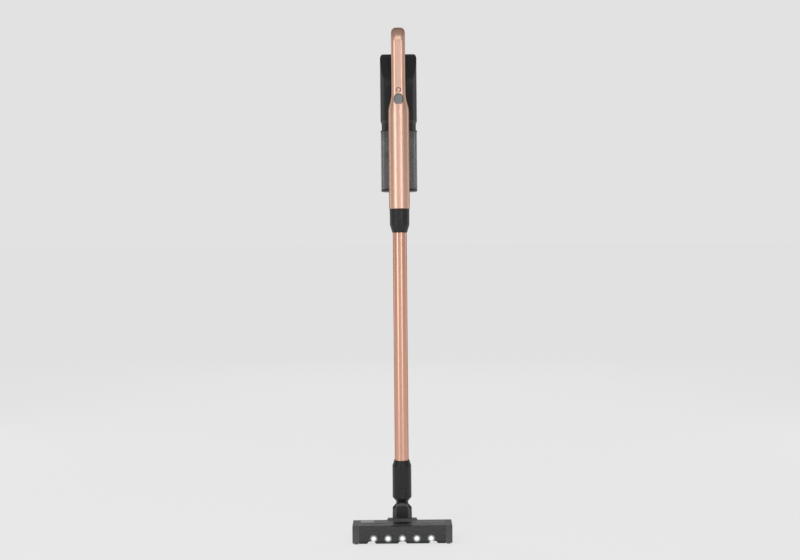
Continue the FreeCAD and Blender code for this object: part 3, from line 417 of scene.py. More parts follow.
def revolved(profile, centre=(0, 0, 0), axis=2, steps=96):
    """Carry a closed profile of (radius, height) round an axis: x = r cos a, y = r sin a, z = height."""
    profile = np.array(profile, dtype=float)
    angle = np.linspace(0, TURN, steps, endpoint=False)
    radius, height = profile[:, 0, None], profile[:, 1, None]
    flat = np.broadcast_arrays(radius * np.cos(angle), radius * np.sin(angle), height + 0 * angle)
    order = {2: (0, 1, 2), 0: (2, 0, 1), 1: (1, 2, 0)}[axis]
    points = np.stack([flat[part] for part in order], axis=-1)
    return points + np.array(centre)


def ring(radius, height, thick, tall, soften=0.3):
    """A ring's closed profile with softened corners, for revolved()."""
    edge = min(thick, tall) * soften
    inner, outer = radius - thick, radius
    below, above = height - tall / 2, height + tall / 2
    return [(inner + edge, below), (outer - edge, below), (outer, below + edge), (outer, above - edge),
            (outer - edge, above), (inner + edge, above), (inner, above - edge), (inner, below + edge)]


def superellipse(half_x, half_y, power, steps=96):
    """A rounded outline: x = a |cos t|^(2/n) sign(cos t), y = b |sin t|^(2/n) sign(sin t)."""
    angle = np.linspace(0, TURN, steps, endpoint=False)
    across = half_x * np.sign(np.cos(angle)) * np.abs(np.cos(angle)) ** (2 / power)
    up = half_y * np.sign(np.sin(angle)) * np.abs(np.sin(angle)) ** (2 / power)
    return np.stack([across, up], axis=-1)


def smooth_step(amount):
    amount = np.clip(amount, 0, 1)
    return amount * amount * (3 - 2 * amount)


def pill(half_x, half_z, power, front, back, crown, steps=80, rows=7):
    """A button facing -Y: an outline that shrinks over a rounded edge, with a slightly domed face.

    At a turn t each row of the edge is scaled by 1 - e (1 - cos t) / a and stands e (1 - sin t) behind the
    front, and the dome adds crown * (1 - r^2) forward over the face.
    """
    outline = superellipse(half_x, half_z, power, steps)
    edge = min(half_x, half_z) * 0.16
    layers = [(1.0, back, 0.0)]
    for turn in np.linspace(0, pi / 2, rows):
        layers.append((1 - edge * (1 - cos(turn)) / half_x, front + edge * (1 - sin(turn)), 0.0))
    for inner in (0.8, 0.6, 0.4, 0.2, 0.02):
        layers.append((inner * (1 - edge / half_x), front, crown * (1 - inner ** 2)))
    return np.array([[(x * size, depth - dome, z * size) for x, z in outline] for size, depth, dome in layers])


# ---- the copper shell and the handle ---------------------------------------------------------------------

def arc_through(before, corner, after, radius, steps):
    """Points on the arc of a radius that is tangent to both runs at a corner of the path."""
    before, corner, after = (np.array(point, dtype=float) for point in (before, corner, after))
    first = (before - corner) / np.linalg.norm(before - corner)
    last = (after - corner) / np.linalg.norm(after - corner)
    half = np.arccos(np.clip(first @ last, -1, 1)) / 2
    middle = (first + last) / np.linalg.norm(first + last)
    centre = corner + middle * radius / np.sin(half)
    start = corner + first * radius / np.tan(half) - centre
    end = corner + last * radius / np.tan(half) - centre
    sweep = pi - 2 * half
    share = np.linspace(0, 1, steps)[:, None]
    return centre + (np.sin((1 - share) * sweep) * start + np.sin(share * sweep) * end) / np.sin(sweep)


def handle_line():
    """The handle's centre line in the plane x = 0: up, over the top and down to the motor."""
    depth = 0.026
    handle_top = 1.180
    reach = 0.098
    centre = GRIP_FRONT + depth / 2
    peak = handle_top - depth / 2
    motor_high = high("motor_housing", 2) - 0.009
    stops = [(centre, GRIP_LOW - 0.002), (centre, peak), (reach - 0.036, peak - 0.003),
             (reach - depth / 2, motor_high + 0.014), (reach - depth / 2, motor_high - 0.008)]
    radii = [0.030, 0.040, 0.018]
    points = [np.array([stops[0]])]
    for index, radius in enumerate(radii, start=1):
        points.append(arc_through(stops[index - 1], stops[index], stops[index + 1], radius, 22))
    points.append(np.array([stops[-1]]))
    return resample(np.concatenate(points), 150)


def resample(path, steps):
    """Points at even distances along a path."""
    lengths = np.concatenate([[0], np.cumsum(np.linalg.norm(np.diff(path, axis=0), axis=1))])
    wanted = np.linspace(0, lengths[-1], steps)
    return np.stack([np.interp(wanted, lengths, path[:, part]) for part in (0, 1)], axis=-1)


def carry(outline, path):
    """Carry an outline of (across, outward) along a path of (y, z), square to it.

    A point is path + outward * normal, and across goes along X; the normal points out of the loop.
    """
    ahead = np.gradient(path, axis=0)
    ahead /= np.linalg.norm(ahead, axis=1)[:, None]
    normal = np.stack([-ahead[:, 1], ahead[:, 0]], axis=-1)
    across = np.broadcast_to(outline[None, :, 0], (len(path), len(outline)))
    y = path[:, None, 0] + outline[None, :, 1] * normal[:, None, 0] + WAND_Y
    z = path[:, None, 1] + outline[None, :, 1] * normal[:, None, 1]
    return np.stack([across, y, z], axis=-1)


def rounded_box_outline(half, outer, inner, outer_round, inner_round, steps=14):
    """A box outline of (across, outward) with its own corner radius outside and inside, counter-clockwise."""
    corners = ((half, inner, inner_round, -90), (half, outer, outer_round, 0), (-half, outer, outer_round, 90),
               (-half, inner, inner_round, 180))
    points = []
    for across, outward_side, radius, start in corners:
        x = across - np.sign(across) * radius
        y = outward_side - np.sign(outward_side - (outer + inner) / 2) * radius
        angle = np.radians(np.linspace(start, start + 90, steps))
        points.append(np.stack([x + radius * np.cos(angle), y + radius * np.sin(angle)], axis=-1))
    return np.concatenate(points)


def housing_radius_at(angle, gap):
    """The housing's radius by direction: its own, or the distance to the recess round the bin if nearer."""
    bin_away = BIN_Y - WAND_Y
    recess = MOTOR_RADIUS + gap
    lean = np.abs((angle - pi / 2 + pi) % TURN - pi)
    inside = recess ** 2 - (bin_away * np.sin(lean)) ** 2
    facing = (inside > 0) & (lean < pi / 2)
    reach = np.where(facing, bin_away * np.cos(lean) - np.sqrt(np.maximum(inside, 0)), HOUSING_RADIUS)
    return np.minimum(HOUSING_RADIUS, reach)


class BuildCopperShell(Operator):
    """Build the copper housing and the outer half of the handle"""

    bl_idname = "vacuum.copper_shell"
    bl_label = "Copper shell"

    def execute(self, context):
        sizes = context.scene.vacuum_shell
        finish = lacquer("copper_lacquer", tuple(sizes.copper))
        angle = np.linspace(0, TURN, 160, endpoint=False)
        round_radius = housing_radius_at(angle, sizes.recess_gap)
        foot = np.stack([round_radius * np.cos(angle), round_radius * np.sin(angle)], axis=-1)

        # The top outline is the handle's own, taken at the same directions from the wand's axis.
        grip = rounded_box_outline(GRIP_HALF, 0.0129, -0.0129, 0.011, 0.007, 40)
        grip = np.stack([grip[:, 0], GRIP_FRONT + 0.013 - grip[:, 1]], axis=-1)
        bearing = np.arctan2(grip[:, 1], grip[:, 0]) % TURN
        order = np.argsort(bearing)
        distance = np.linalg.norm(grip, axis=1)[order]
        top_radius = np.interp(angle, bearing[order], distance, period=TURN)
        top = np.stack([top_radius * np.cos(angle), top_radius * np.sin(angle)], axis=-1)

        # Heights bunch up where the shell narrows; a lip is turned in at the foot.
        heights = np.concatenate([[0.0, 0.0004, 0.0012], np.linspace(0.004, sizes.flare_low, 24),
                                  np.linspace(sizes.flare_low, sizes.flare_high + 0.004, 34)[1:]])
        share = smooth_step((heights - sizes.flare_low) / (sizes.flare_high - sizes.flare_low))
        tuck = np.where(heights < 0.0005, 0.97, np.where(heights < 0.001, 0.99, 1.0))
        share, tuck = share[:, None, None], tuck[:, None, None]
        ground = (foot[None] * (1 - share) + top[None] * share) * tuck
        z = np.broadcast_to((HOUSING_LOW + heights)[:, None], ground.shape[:2])
        points = np.stack([ground[..., 0], ground[..., 1] + WAND_Y, z], axis=-1)
        lay("copper_housing", points, finish=finish, slot="copper_shell", stands_for=("front_housing",))

        # The handle's outer half, closed by a flat seam on the inside.
        outline = rounded_box_outline(GRIP_HALF, 0.013, -0.003, 0.011, 0.0005)
        lay("copper_handle", carry(outline, handle_line()), finish=finish, slot="copper_shell",
            stands_for=("handle_shell",))
        return {"FINISHED"}


class BuildSoftGrip(Operator):
    """Build the soft grip inside the handle's loop, with fine finger ribs"""

    bl_idname = "vacuum.soft_grip"
    bl_label = "Soft grip"

    def execute(self, context):
        finish = soft_rubber("soft_touch", (0.022, 0.022, 0.023))
        fine = resample(handle_line(), 460)
        outline = rounded_box_outline(GRIP_HALF - 0.0004, -0.0029, -0.0129, 0.0004, 0.0065)
        points = carry(outline, fine)
        # Ribs: the inner face moves in and out by a sine along the front leg.
        along = np.linspace(0, 1, len(fine))
        rib_height, first, last, fade = 0.00035, 0.05, 0.36, 30
        ribs = rib_height * (0.5 + 0.5 * np.cos(along * 460)) * (smooth_step((along - first) * fade)
                                                                 * smooth_step((last - along) * fade))
        facing = np.clip((-0.010 - outline[:, 1]) / 0.003, 0, 1)
        points[..., 1] -= ribs[:, None] * facing[None, :]
        lay("soft_grip", points, finish=finish, slot="soft_grip", stands_for=("handle_grip",))
        return {"FINISHED"}


def port_rim():
    """The charging port's rim and a flat dark face across its plug hole, painted shade of the hole: rings of
    (radius, height) bent round the housing's side.

    A point at (side, rise) on a ring lies at the bearing lean + side / R, at the radius R + height.
    """
    lean = np.arcsin((middle("charge_socket", 1) - WAND_Y) / HOUSING_RADIUS)
    rings = [(0.0001, 0.00005), (0.0027, 0.00005), (0.0028, 0.0003), (0.0040, 0.0005), (0.0052, 0.0002),
             (0.0054, -0.0010), (0.0001, -0.0010)]
    spin = np.linspace(0, TURN, 48, endpoint=False)
    radius, proud = np.array(rings).T[:, :, None]
    bearing = lean + radius * np.cos(spin) / HOUSING_RADIUS
    out = HOUSING_RADIUS + proud
    return np.stack([out * np.cos(bearing), WAND_Y + out * np.sin(bearing),
                     middle("charge_socket", 2) + radius * np.sin(spin)], axis=-1)


class BuildControls(Operator):
    """Build the power button, the painted shade in the gap round it, the charging port's rim and the ring mark
    """

    bl_idname = "vacuum.controls"
    bl_label = "Controls"

    def execute(self, context):
        sizes = context.scene.vacuum_shell
        power = 2.25
        crown, gap, rim_width = 0.0011, 0.0004, 0.0012
        centre_z = middle("power_button", 2)
        half_x, half_z = span("power_button", 0) / 2, span("power_button", 2) / 2
        front = low("power_button", 1) + 0.0012
        grey = moulded("button_grey", tuple(sizes.button_grey), 0.34, 0.15, coat_weight=0.2)
        button = pill(half_x, half_z, power, front, high("power_button", 1) - 0.001, crown)
        lay("power_button_cap", button + np.array([0, 0, centre_z]), finish=grey, slot="button_grey",
            body="power_button", stands_for=("power_button",))

        # A dark ring standing just clear of the button: painted shade of the gap round it.
        dark = moulded("painted_gap_shade_and_black_rim", (0.012, 0.012, 0.012), 0.5)
        rim = superellipse(half_x + rim_width, half_z + rim_width, power)
        hole = superellipse(half_x + gap, half_z + gap, power)
        gap_shade_ring = np.array([[(x, y, z + centre_z) for x, z in loop] for loop, y in
                             ((hole, front + 0.004), (hole, front + 0.0011), (rim, front + 0.0013),
                              (rim, front + 0.004))])
        lay("button_gap_shade", gap_shade_ring, along=True, finish=dark, slot="black_shell")
        # The rim is black plastic; its flat face across the plug hole is painted shade of the hole.
        lay("charge_port_rim", port_rim(), finish=dark, slot="black_shell")

        ink = moulded("printed_ink", (0.03, 0.022, 0.02), 0.4, 0.1)
        centre = (middle("mode_ring", 0), low("mode_ring", 1) - 0.0001, middle("mode_ring", 2))
        mark = ring(span("mode_ring", 0) / 2 + 0.0004, 0.0001, 0.0016, 0.0003)
        lay("mode_ring_mark", revolved(mark, centre, axis=1), along=True, finish=ink, slot="mark",
            stands_for=("mode_ring",))
        return {"FINISHED"}


# ---- the frame's own nodes -------------------------------------------------------------------------------

def give(finish, *nodes):
    """Give nodes of the frame a material."""
    for name in nodes:
        for slot in NODES[name].material_slots:
            slot.material = finish


class FinishFrame(Operator):
    """Give every node of the frame its material"""

    bl_idname = "vacuum.finish_frame"
    bl_label = "Frame finishes"

    def execute(self, context):
        head = context.scene.vacuum_head
        shell = context.scene.vacuum_shell
        charcoal = moulded("charcoal_plastic", tuple(head.charcoal), 0.42)
        black = moulded("black_plastic", (0.012, 0.012, 0.0125), 0.42, specular_ior_level=0.4)
        give(charcoal, "head_base", "end_cap_left", "end_cap_right", "swivel_yoke")
        give(moulded("strip_plastic", tuple(head.strip_grey), 0.46, 0.3), "top_cover")
        give(black, "neck_housing", "wand_collar", "spine_bracket", "filter_frame", "bin_lid", "pivot_cover",
             "inlet_duct", "battery_carrier")
        give(moulded("motor_plastic", (0.012, 0.012, 0.0125), 0.36, specular_ior_level=0.35), "motor_housing")
        give(moulded("key_plastic", (0.014, 0.014, 0.0145), 0.36, 0.12, specular_ior_level=0.4),
             "nozzle_release_key", "wand_release_key", "lid_latch")
        give(anodised("anodised_copper", tuple(shell.tube_copper)), "wand_tube")
        give(clear_plastic("smoked_bin", (0.13, 0.13, 0.134), 0.05, 0.52, 0.25), "dust_bin")
        give(clear_plastic("smoked_window", (0.06, 0.06, 0.062), 0.08, 0.50, 0.2), "window")
        give(soft_rubber("black_rubber", (0.014, 0.014, 0.014)), "front_lip", "front_roller_left",
             "front_roller_right", "rear_wheel_left", "rear_wheel_right", "lid_seal", "air_hose")
        give(fibres("felt_strip", (0.02, 0.02, 0.02), (0.06, 0.06, 0.06)), "sole_strip")
        give(moulded("gloss_bar", (0.012, 0.012, 0.013), 0.16, 0.05, coat_weight=0.5), "light_bar")
        give(glowing("nozzle_light", (0.93, 0.97, 1.0), head.light_power), "light_lenses")
        give(moulded("unlit_lens", (0.05, 0.034, 0.03), 0.2, 0.05), "battery_lights")
        give(circuit_board("circuit_board"), "light_board", "control_board")
        give(moulded("plain_plate", (0.46, 0.46, 0.465), 0.5, 0.15), "name_plate")
        give(metal("ground_steel", (0.62, 0.61, 0.60), 0.28), "wheel_axle", "fold_pins", "swivel_pins",
             "lid_hinge_pin", "brush_bearings", "motor_bearings", "motor_rotor")
        give(metal("cast_motor", (0.42, 0.42, 0.43), 0.42), "motor_can", "brush_motor", "fan_wheel")
        give(moulded("roller_plastic", (0.03, 0.03, 0.034), 0.35), "brush_core", "fan_inlet_plate",
             "motor_mount", "cyclone_cone", "wand_cable", "charge_socket")
        give(moulded("cell_sleeve", (0.02, 0.12, 0.30), 0.3, 0.05, coat_weight=0.4), "battery_cells")
        give(perforated("perforated_steel", (0.22, 0.22, 0.225), (0.01, 0.01, 0.01)), "mesh_shroud")
        give(pleated("filter_paper", (0.62, 0.61, 0.57)), "pre_filter", "exhaust_filter")
        return {"FINISHED"}


# ---- bin and motor ---------------------------------------------------------------------------------------

class BuildBinTrim(Operator):
    """Build the lid's band, the pleated filter, the cyclone's vanes and the shroud's skirt"""

    bl_idname = "vacuum.bin_trim"
    bl_label = "Bin trim"

    def execute(self, context):
        centre = (0, BIN_Y, 0)
        filter_high = high("filter_frame", 2)
        black = moulded("band_plastic", (0.018, 0.018, 0.019), 0.3, 0.12)
        lid_ring = revolved(ring(MOTOR_RADIUS - 0.0004, middle("bin_lid", 2) + 0.0006, 0.0008, 0.0022), centre)
        lay("lid_band", lid_ring, along=True, body="bin_lid", finish=black, slot="black_shell")

        # The pleated filter: its outer radius runs in and out by a triangle wave round the circle.
        angle = np.linspace(0, TURN, 480, endpoint=False)
        pleats = 60
        wave = np.abs(((angle * pleats / TURN) % 1) * 2 - 1)
        inner = MOTOR_RADIUS - 0.0238
        outer = MOTOR_RADIUS - 0.0088
        pleat = inner + (outer - inner) * wave
        x, y = pleat * np.cos(angle), pleat * np.sin(angle) + BIN_Y
        paper = np.array([np.stack([x, y, 0 * angle + level], axis=-1)
                          for level in (filter_high - 0.0088, filter_high - 0.0006)])
        lay("pleated_filter", paper, finish=pleated("pleated_paper", (0.6, 0.59, 0.55)), slot="filter",
            stands_for=("pre_filter",))

        # Helical vanes between the shroud and the bin, as on a cyclone separator.
        vanes = []
        vane_count, sweep, vane_thick = 6, 0.9, 0.0012
        shroud = span("mesh_shroud", 0) / 2
        floor = low("mesh_shroud", 2)
        for start in np.arange(vane_count) * TURN / vane_count:
            turn = np.linspace(0, sweep, 24)
            edge = np.linspace(shroud + 0.0002, shroud + 0.008, 5)
            spot = start + turn[:, None]
            rise = floor + 0.004 + 0.012 * turn[:, None] / sweep + 0 * edge[None]
            top = np.stack([edge[None] * np.cos(spot), edge[None] * np.sin(spot) + BIN_Y, rise], axis=-1)
            bottom = (top - np.array([0, 0, vane_thick]))[:, ::-1]
            vanes.append(np.concatenate([top, bottom], axis=1))
        join("cyclone_vanes", vanes, finish=black, slot="cyclone")

        # A low plain band round the shroud's foot.
        skirt = revolved([(shroud + 0.0001, floor - 0.001), (shroud + 0.004, floor - 0.003),
                          (shroud + 0.0045, floor - 0.002), (shroud + 0.0008, floor + 0.001),
                          (shroud + 0.0001, floor + 0.001)], centre)
        lay("shroud_skirt", skirt, along=True, finish=black, slot="cyclone")
        return {"FINISHED"}


def screw_head(centre, axis, facing, radius=0.0026):
    """A pan-head screw: a shallow dome with a cross recess, as rings round the axis.

    The dome's height is h (1 - (r/R)^2) and the cross sinks where either ground coordinate is near zero.
    """
    share = np.linspace(0.02, 1, 12)
    angle = np.linspace(0, TURN, 48, endpoint=False)
    radii = share[:, None] * radius
    across, up = radii * np.cos(angle), radii * np.sin(angle)
    dome = 0.0009 * (1 - share[:, None] ** 2) + 0.0003
    slot = (np.minimum(np.abs(across), np.abs(up)) < radius * 0.13) & (radii < radius * 0.62)
    height = dome - np.where(slot, 0.0008, 0)
    skirt = np.full((1, len(angle)), -0.0008)
    across = np.concatenate([across, across[-1:]])
    up = np.concatenate([up, up[-1:]])
    height = np.concatenate([height, skirt]) * facing
    parts = {0: (height, across, up), 1: (across, height, up), 2: (across, up, height)}[axis]
    return np.stack(parts, axis=-1) + np.array(centre)


class BuildMotorTrim(Operator):
    """Build the motor housing's band, exhaust fins and screws"""

    bl_idname = "vacuum.motor_trim"
    bl_label = "Motor trim"

    def execute(self, context):
        black = moulded("motor_trim_plastic", (0.016, 0.016, 0.017), 0.35, 0.15)
        foot = low("motor_housing", 2)
        centre = (0, BIN_Y, 0)
        band = revolved(ring(MOTOR_RADIUS + 0.00005, foot + 0.0028, 0.0004, 0.0009), centre)
        lay("motor_bands", band, along=True, finish=black, slot="black_shell")

        # Fins behind the exhaust slots.
        fins = []
        slot_low, slot_high = foot + 0.0985, foot + 0.1285
        outer, inner = MOTOR_RADIUS - 0.0012, MOTOR_RADIUS - 0.0042
        angle = np.linspace(radians(32), radians(148), 40)
        for level in np.linspace(slot_low + 0.003, slot_high - 0.003, 6):
            loop = [(outer, level), (outer, level + 0.0009), (inner, level + 0.0019), (inner, level + 0.001)]
            fins.append(np.array([[(r * cos(a), r * sin(a) + BIN_Y, z) for r, z in loop] for a in angle]))
        join("exhaust_fins", fins, finish=black, slot="black_shell")

        steel = metal("screw_steel", (0.32, 0.32, 0.33), 0.34)
        screws = []
        for x in (-0.016, 0.016):
            for level in (foot + 0.045, foot + 0.160):
                y = BIN_Y + (MOTOR_RADIUS ** 2 - x ** 2) ** 0.5
                screws.append(screw_head((x, y - 0.0008, level), 1, 1, 0.0024))
        join("motor_screws", screws, finish=steel, slot="steel")
        return {"FINISHED"}


# ---- wand and neck ---------------------------------------------------------------------------------------

def key_ridge(node, step, half=0.0034, steps=15, sides=10):
    """A finger ridge across a key: its height over the key follows a half ellipse, sqrt(1 - (x / half)^2)."""
    level = low(node, 2) + 0.0055 + step * 0.0022
    line = np.linspace(-half, half, steps)
    bulge = 0.0004 * np.sqrt(np.maximum(0, 1 - (line / half) ** 2)) + 0.00005
    radius = WAND_Y - low(node, 1)
    depth = WAND_Y - np.sqrt(radius ** 2 - line ** 2)
    turn = np.linspace(0, TURN, sides, endpoint=False)
    return np.stack([np.broadcast_to(line[:, None], (steps, sides)),
                     depth[:, None] - bulge[:, None] * np.cos(turn)[None] + 0.00015,
                     level + 0.0005 * np.sin(turn)[None] + 0 * line[:, None]], axis=-1)


class BuildWandTrim(Operator):
    """Build the rings at the wand's ends and the fine bands on the collar and the neck"""

    bl_idname = "vacuum.wand_trim"
    bl_label = "Wand trim"

    def execute(self, context):
        black = moulded("trim_plastic", (0.014, 0.014, 0.015), 0.28, 0.1, coat_weight=0.3)
        centre = (0, WAND_Y, 0)
        neck_top = high("neck_housing", 2)
        collar_low, collar_high = low("wand_collar", 2), high("wand_collar", 2)
        bands = [("neck_lip", "neck", WAND_RADIUS + 0.0012, neck_top + 0.0002, 0.0009, 0.0008),
                 ("collar_lip", "handheld", WAND_RADIUS + 0.0010, collar_low - 0.0001, 0.0008, 0.0008),
                 ("collar_seam", "handheld", HOUSING_RADIUS - 0.0004, collar_high + 0.0001, 0.0006, 0.0007)]
        for name, body, *profile in bands:
            points = revolved(ring(*profile), centre)
            lay(name, points, along=True, finish=black, slot="black_shell", body=body)

        # Finger ridges on the lower, rounded ends of both release keys.
        for key in ("nozzle", "wand"):
            node = f"{key}_release_key"
            join(f"{key}_key_ridges", [key_ridge(node, step) for step in range(3)], node, black, "keys")
        return {"FINISHED"}


# ---- floor head ------------------------------------------------------------------------------------------

HEAD_FRONT = low("end_cap_left", 1)
HEAD_TOP = high("end_cap_left", 2)
BODY_HALF = span("window", 0) / 2
STRIP_FRONT = high("window", 1)
PANEL_HALF = 0.0205
GLOW_RADIUS = 0.0102


def bar(start, end, y, z, half_wide, half_tall, round_off=0.35):
    """A small bar along X with a rounded section, as rings of a superellipse carried along it."""
    section = superellipse(half_wide, half_tall, 2 / round_off, 16)
    return np.array([[(x, y + a, z + b) for a, b in section] for x in (start, end)])


def frame_outline(centre, half_x, half_z, width, proud, corner):
    """A raised picture-frame on a face towards -Y: outer and inner rounded loops joined into one ring."""
    loops = []
    for inset, depth in ((0.0, 0.0006), (0.0, -proud * 0.6), (width * 0.25, -proud), (width * 0.75, -proud),
                         (width, -proud * 0.6), (width, 0.0006)):
        outline = superellipse(half_x - inset, half_z - inset, corner, 48)
        loops.append(np.stack([outline[:, 0] + centre[0], np.full(len(outline), centre[1] + depth),
                               outline[:, 1] + centre[2]], axis=-1))
    return np.array(loops)


def centre_panel():
    """The gloss panel over the cover's raised centre: a rounded outline drawn in a little as it rises."""
    back, front = STRIP_FRONT + 0.009, HEAD_FRONT + 0.0095
    middle_y = (back + front) / 2
    outline = superellipse(PANEL_HALF - 0.0006, (back - front) / 2, 7, 96)
    top = HEAD_TOP + 0.00065
    layers = [(1.0, top - 0.0004), (1.0, top + 0.0002), (0.992, top + 0.0004), (0.97, top + 0.0005),
              (0.5, top + 0.00055), (0.02, top + 0.00056)]
    return np.array([[(x * size, middle_y + y * size, level) for x, y in outline] for size, level in layers])


def scoop_rim(reach_x=0.030, reach_y=0.0095, thick=0.0004):
    """A thin dark bead along part of an ellipse behind the panel, where the strip is scooped: painted shade at
    the scoop's edge.
    """
    turn = np.linspace(radians(12), radians(168), 48)
    loop = np.linspace(0, TURN, 10, endpoint=False)
    return np.array([[(reach_x * cos(t) + thick * cos(a) * cos(t), STRIP_FRONT + 0.002 + reach_y * sin(t)
                       + thick * cos(a) * sin(t), HEAD_TOP + 0.00025 * sin(a)) for a in loop] for t in turn])


def light_face(x, level, radius, spread=1.15):
    """A domed face on a light: it stands 0.6 mm (1 - r^2) further out in its middle."""
    share = np.linspace(0.02, 1, 8)
    angle = np.linspace(0, TURN, 32, endpoint=False)
    r = share[:, None] * radius * spread
    depth = HEAD_FRONT + 0.0003 - 0.0006 * (1 - share[:, None] ** 2) + 0 * angle
    dome = np.stack([x + r * np.cos(angle), depth, level + r * np.sin(angle)], axis=-1)
    return np.concatenate([dome, dome[-1:] + np.array([0, 0.0004, 0])])


def glow_disc(x, level):
    """A thin disc in front of a light, cut off level below it, for its glow to show on."""
    angle = np.linspace(0, TURN, 40, endpoint=False)
    layers = [(0.02, 0.0), (1.0, 0.0), (1.0, 0.0002), (0.02, 0.0002)]
    return np.array([[(x + share * GLOW_RADIUS * cos(a), HEAD_FRONT - 0.0009 + depth,
                       max(level + share * GLOW_RADIUS * sin(a), level - 0.009)) for a in angle]
                     for share, depth in layers])


def light_glow(level, pitch):
    """The glow round the lights, which fades as (1 - r / R)^2, r from the nearest light's centre."""
    glow = Finish("light_glow", (0.0, 0.0, 0.0), 1.0, specular_ior_level=0.0)
    here = glow.add("TexCoord", output=3)
    along = glow.add("SeparateXYZ", {}, here, output=0) + pitch / 2
    across = glow.add("Math", {"operation": "PINGPONG"}, along, pitch / 2)
    up = glow.add("SeparateXYZ", {}, here, output=2) - level
    off = pitch / 2 - across
    away = glow.add("Math", {"operation": "SQRT"}, off * off + up * up)
    fade = glow.add("Math", {"operation": "MAXIMUM"}, 1.0 - away * (1 / GLOW_RADIUS), 0.0)
    glow.set("Alpha", fade * fade * 0.7)
    glow.set("Emission Color", (0.95, 0.98, 1.0))
    glow.set("Emission Strength", 1.6)
    glow.material.surface_render_method = "BLENDED"
    return glow.material


class BuildNozzleTrim(Operator):
    """Build the nozzle's grooves, gloss panel, corner frames, light bezels and screws"""

    bl_idname = "vacuum.nozzle_trim"
    bl_label = "Nozzle trim"

    def execute(self, context):
        sizes = context.scene.vacuum_head
        dark = moulded("painted_recess_shade", (0.010, 0.010, 0.011), 0.55, 0.2)
        gloss = moulded("gloss_panel", (0.014, 0.014, 0.015), 0.14, 0.04, coat_weight=0.6)
        # The grooves are thin dark bars on the surface: their black is painted shade of the grooves.
        half = sizes.groove_width / 2
        grooves = []
        inner, outer = PANEL_HALF + 0.0004, BODY_HALF - 0.0006
        for start, end in ((-outer, -inner), (inner, outer)):
            grooves += [bar(start, end, STRIP_FRONT - 0.0008, HEAD_TOP + 0.00002, half, 0.0002),
                        bar(start, end, HEAD_FRONT + 0.005, HEAD_TOP - 0.0001, half, 0.0003)]
        join("nozzle_grooves", grooves, "floor_head", dark, "black_shell")
        lay("gloss_centre_panel", centre_panel(), finish=gloss, slot="light_bar", body="floor_head")
        # The bead's black is painted shade along the scoop's edge.
        lay("scoop_rim", scoop_rim(), finish=dark, slot="black_shell", body="floor_head")
        frames = [frame_outline((side * (BODY_HALF + 0.0075), HEAD_FRONT, HEAD_TOP - 0.0095), 0.0052, 0.0058,
                                0.0011, 0.0005, 5) for side in (-1, 1)]
        join("corner_frames", frames, "floor_head", moulded("frame_plastic", (0.055, 0.055, 0.058), 0.35, 0.2),
             "black_shell", along=True)

        level = middle("light_lenses", 2)
        radius = span("light_lenses", 2) / 2
        pitch = (span("light_lenses", 0) - 2 * radius) / 4
        places = np.arange(-2, 3) * pitch
        bezel = ring(radius + 0.0012, 0, 0.0011, 0.0005)
        bezels = [revolved(bezel, (x, HEAD_FRONT - 0.00005, level), axis=1, steps=40) for x in places]
        join("light_bezels", bezels, "floor_head", metal("bezel_chrome", (0.55, 0.55, 0.56), 0.2), "steel",
             along=True)
        join("light_faces", [light_face(x, level, radius) for x in places], "floor_head",
             glowing("light_face", (0.95, 0.98, 1.0), sizes.light_power), "light_lens")
        join("light_glows", [glow_disc(x, level) for x in places], "floor_head", light_glow(level, pitch),
             "light_lens", along=True)

        steel = metal("sole_screws", (0.36, 0.36, 0.37), 0.35)
        sole = low("head_base", 2) + 0.0002
        screws = [screw_head((x, WAND_Y - 0.0155, sole), 2, -1) for x in (-0.08, -0.028, 0.028, 0.08)]
        join("sole_screw_heads", screws, "floor_head", steel, "steel")
        return {"FINISHED"}


class BuildBrush(Operator):
    """Build the brush's helical rows of bristles"""

    bl_idname = "vacuum.brush"
    bl_label = "Brush"

    def execute(self, context):
        sizes = context.scene.vacuum_head
        centre_y, centre_z = middle("brush_core", 1), middle("brush_core", 2)
        core = span("brush_core", 2) / 2
        tip = 0.0168
        half = BODY_HALF - 0.003
        rows = []
        for row in range(sizes.bristle_rows):
            share = np.linspace(0, 1, 420)
            x = -half + 2 * half * share
            turn = TURN * (row / sizes.bristle_rows + sizes.bristle_turns * np.abs(share - 0.5))
            # Tufts: the tips rise and fall about once a millimetre, with a slow wander.
            fray = 0.00045 * np.sin(share * 1300 + row) + 0.0003 * np.sin(share * 377 + 2 * row)
            thick = 0.0009 + 0.0002 * np.sin(share * 640 + row)
            section = [(core - 0.0004, -1), (core - 0.0004, 1), (tip * 0.8, 1.15), (tip, 0.9), (tip, -0.9),
                       (tip * 0.8, -1.15)]
            ringed = []
            for radius, side in section:
                reach = radius + (fray if radius >= tip else 0)
                across = side * thick
                ringed.append(np.stack([x, centre_y + reach * np.cos(turn) - across * np.sin(turn),
                                        centre_z + reach * np.sin(turn) + across * np.cos(turn)], axis=-1))
            rows.append(np.stack(ringed, axis=1))
        join("bristle_rows", rows, "brush", fibres("nylon_bristles", (0.06, 0.06, 0.062), (0.32, 0.32, 0.33)),
             "bristles", stands_for=("brush_bristles",))
        return {"FINISHED"}


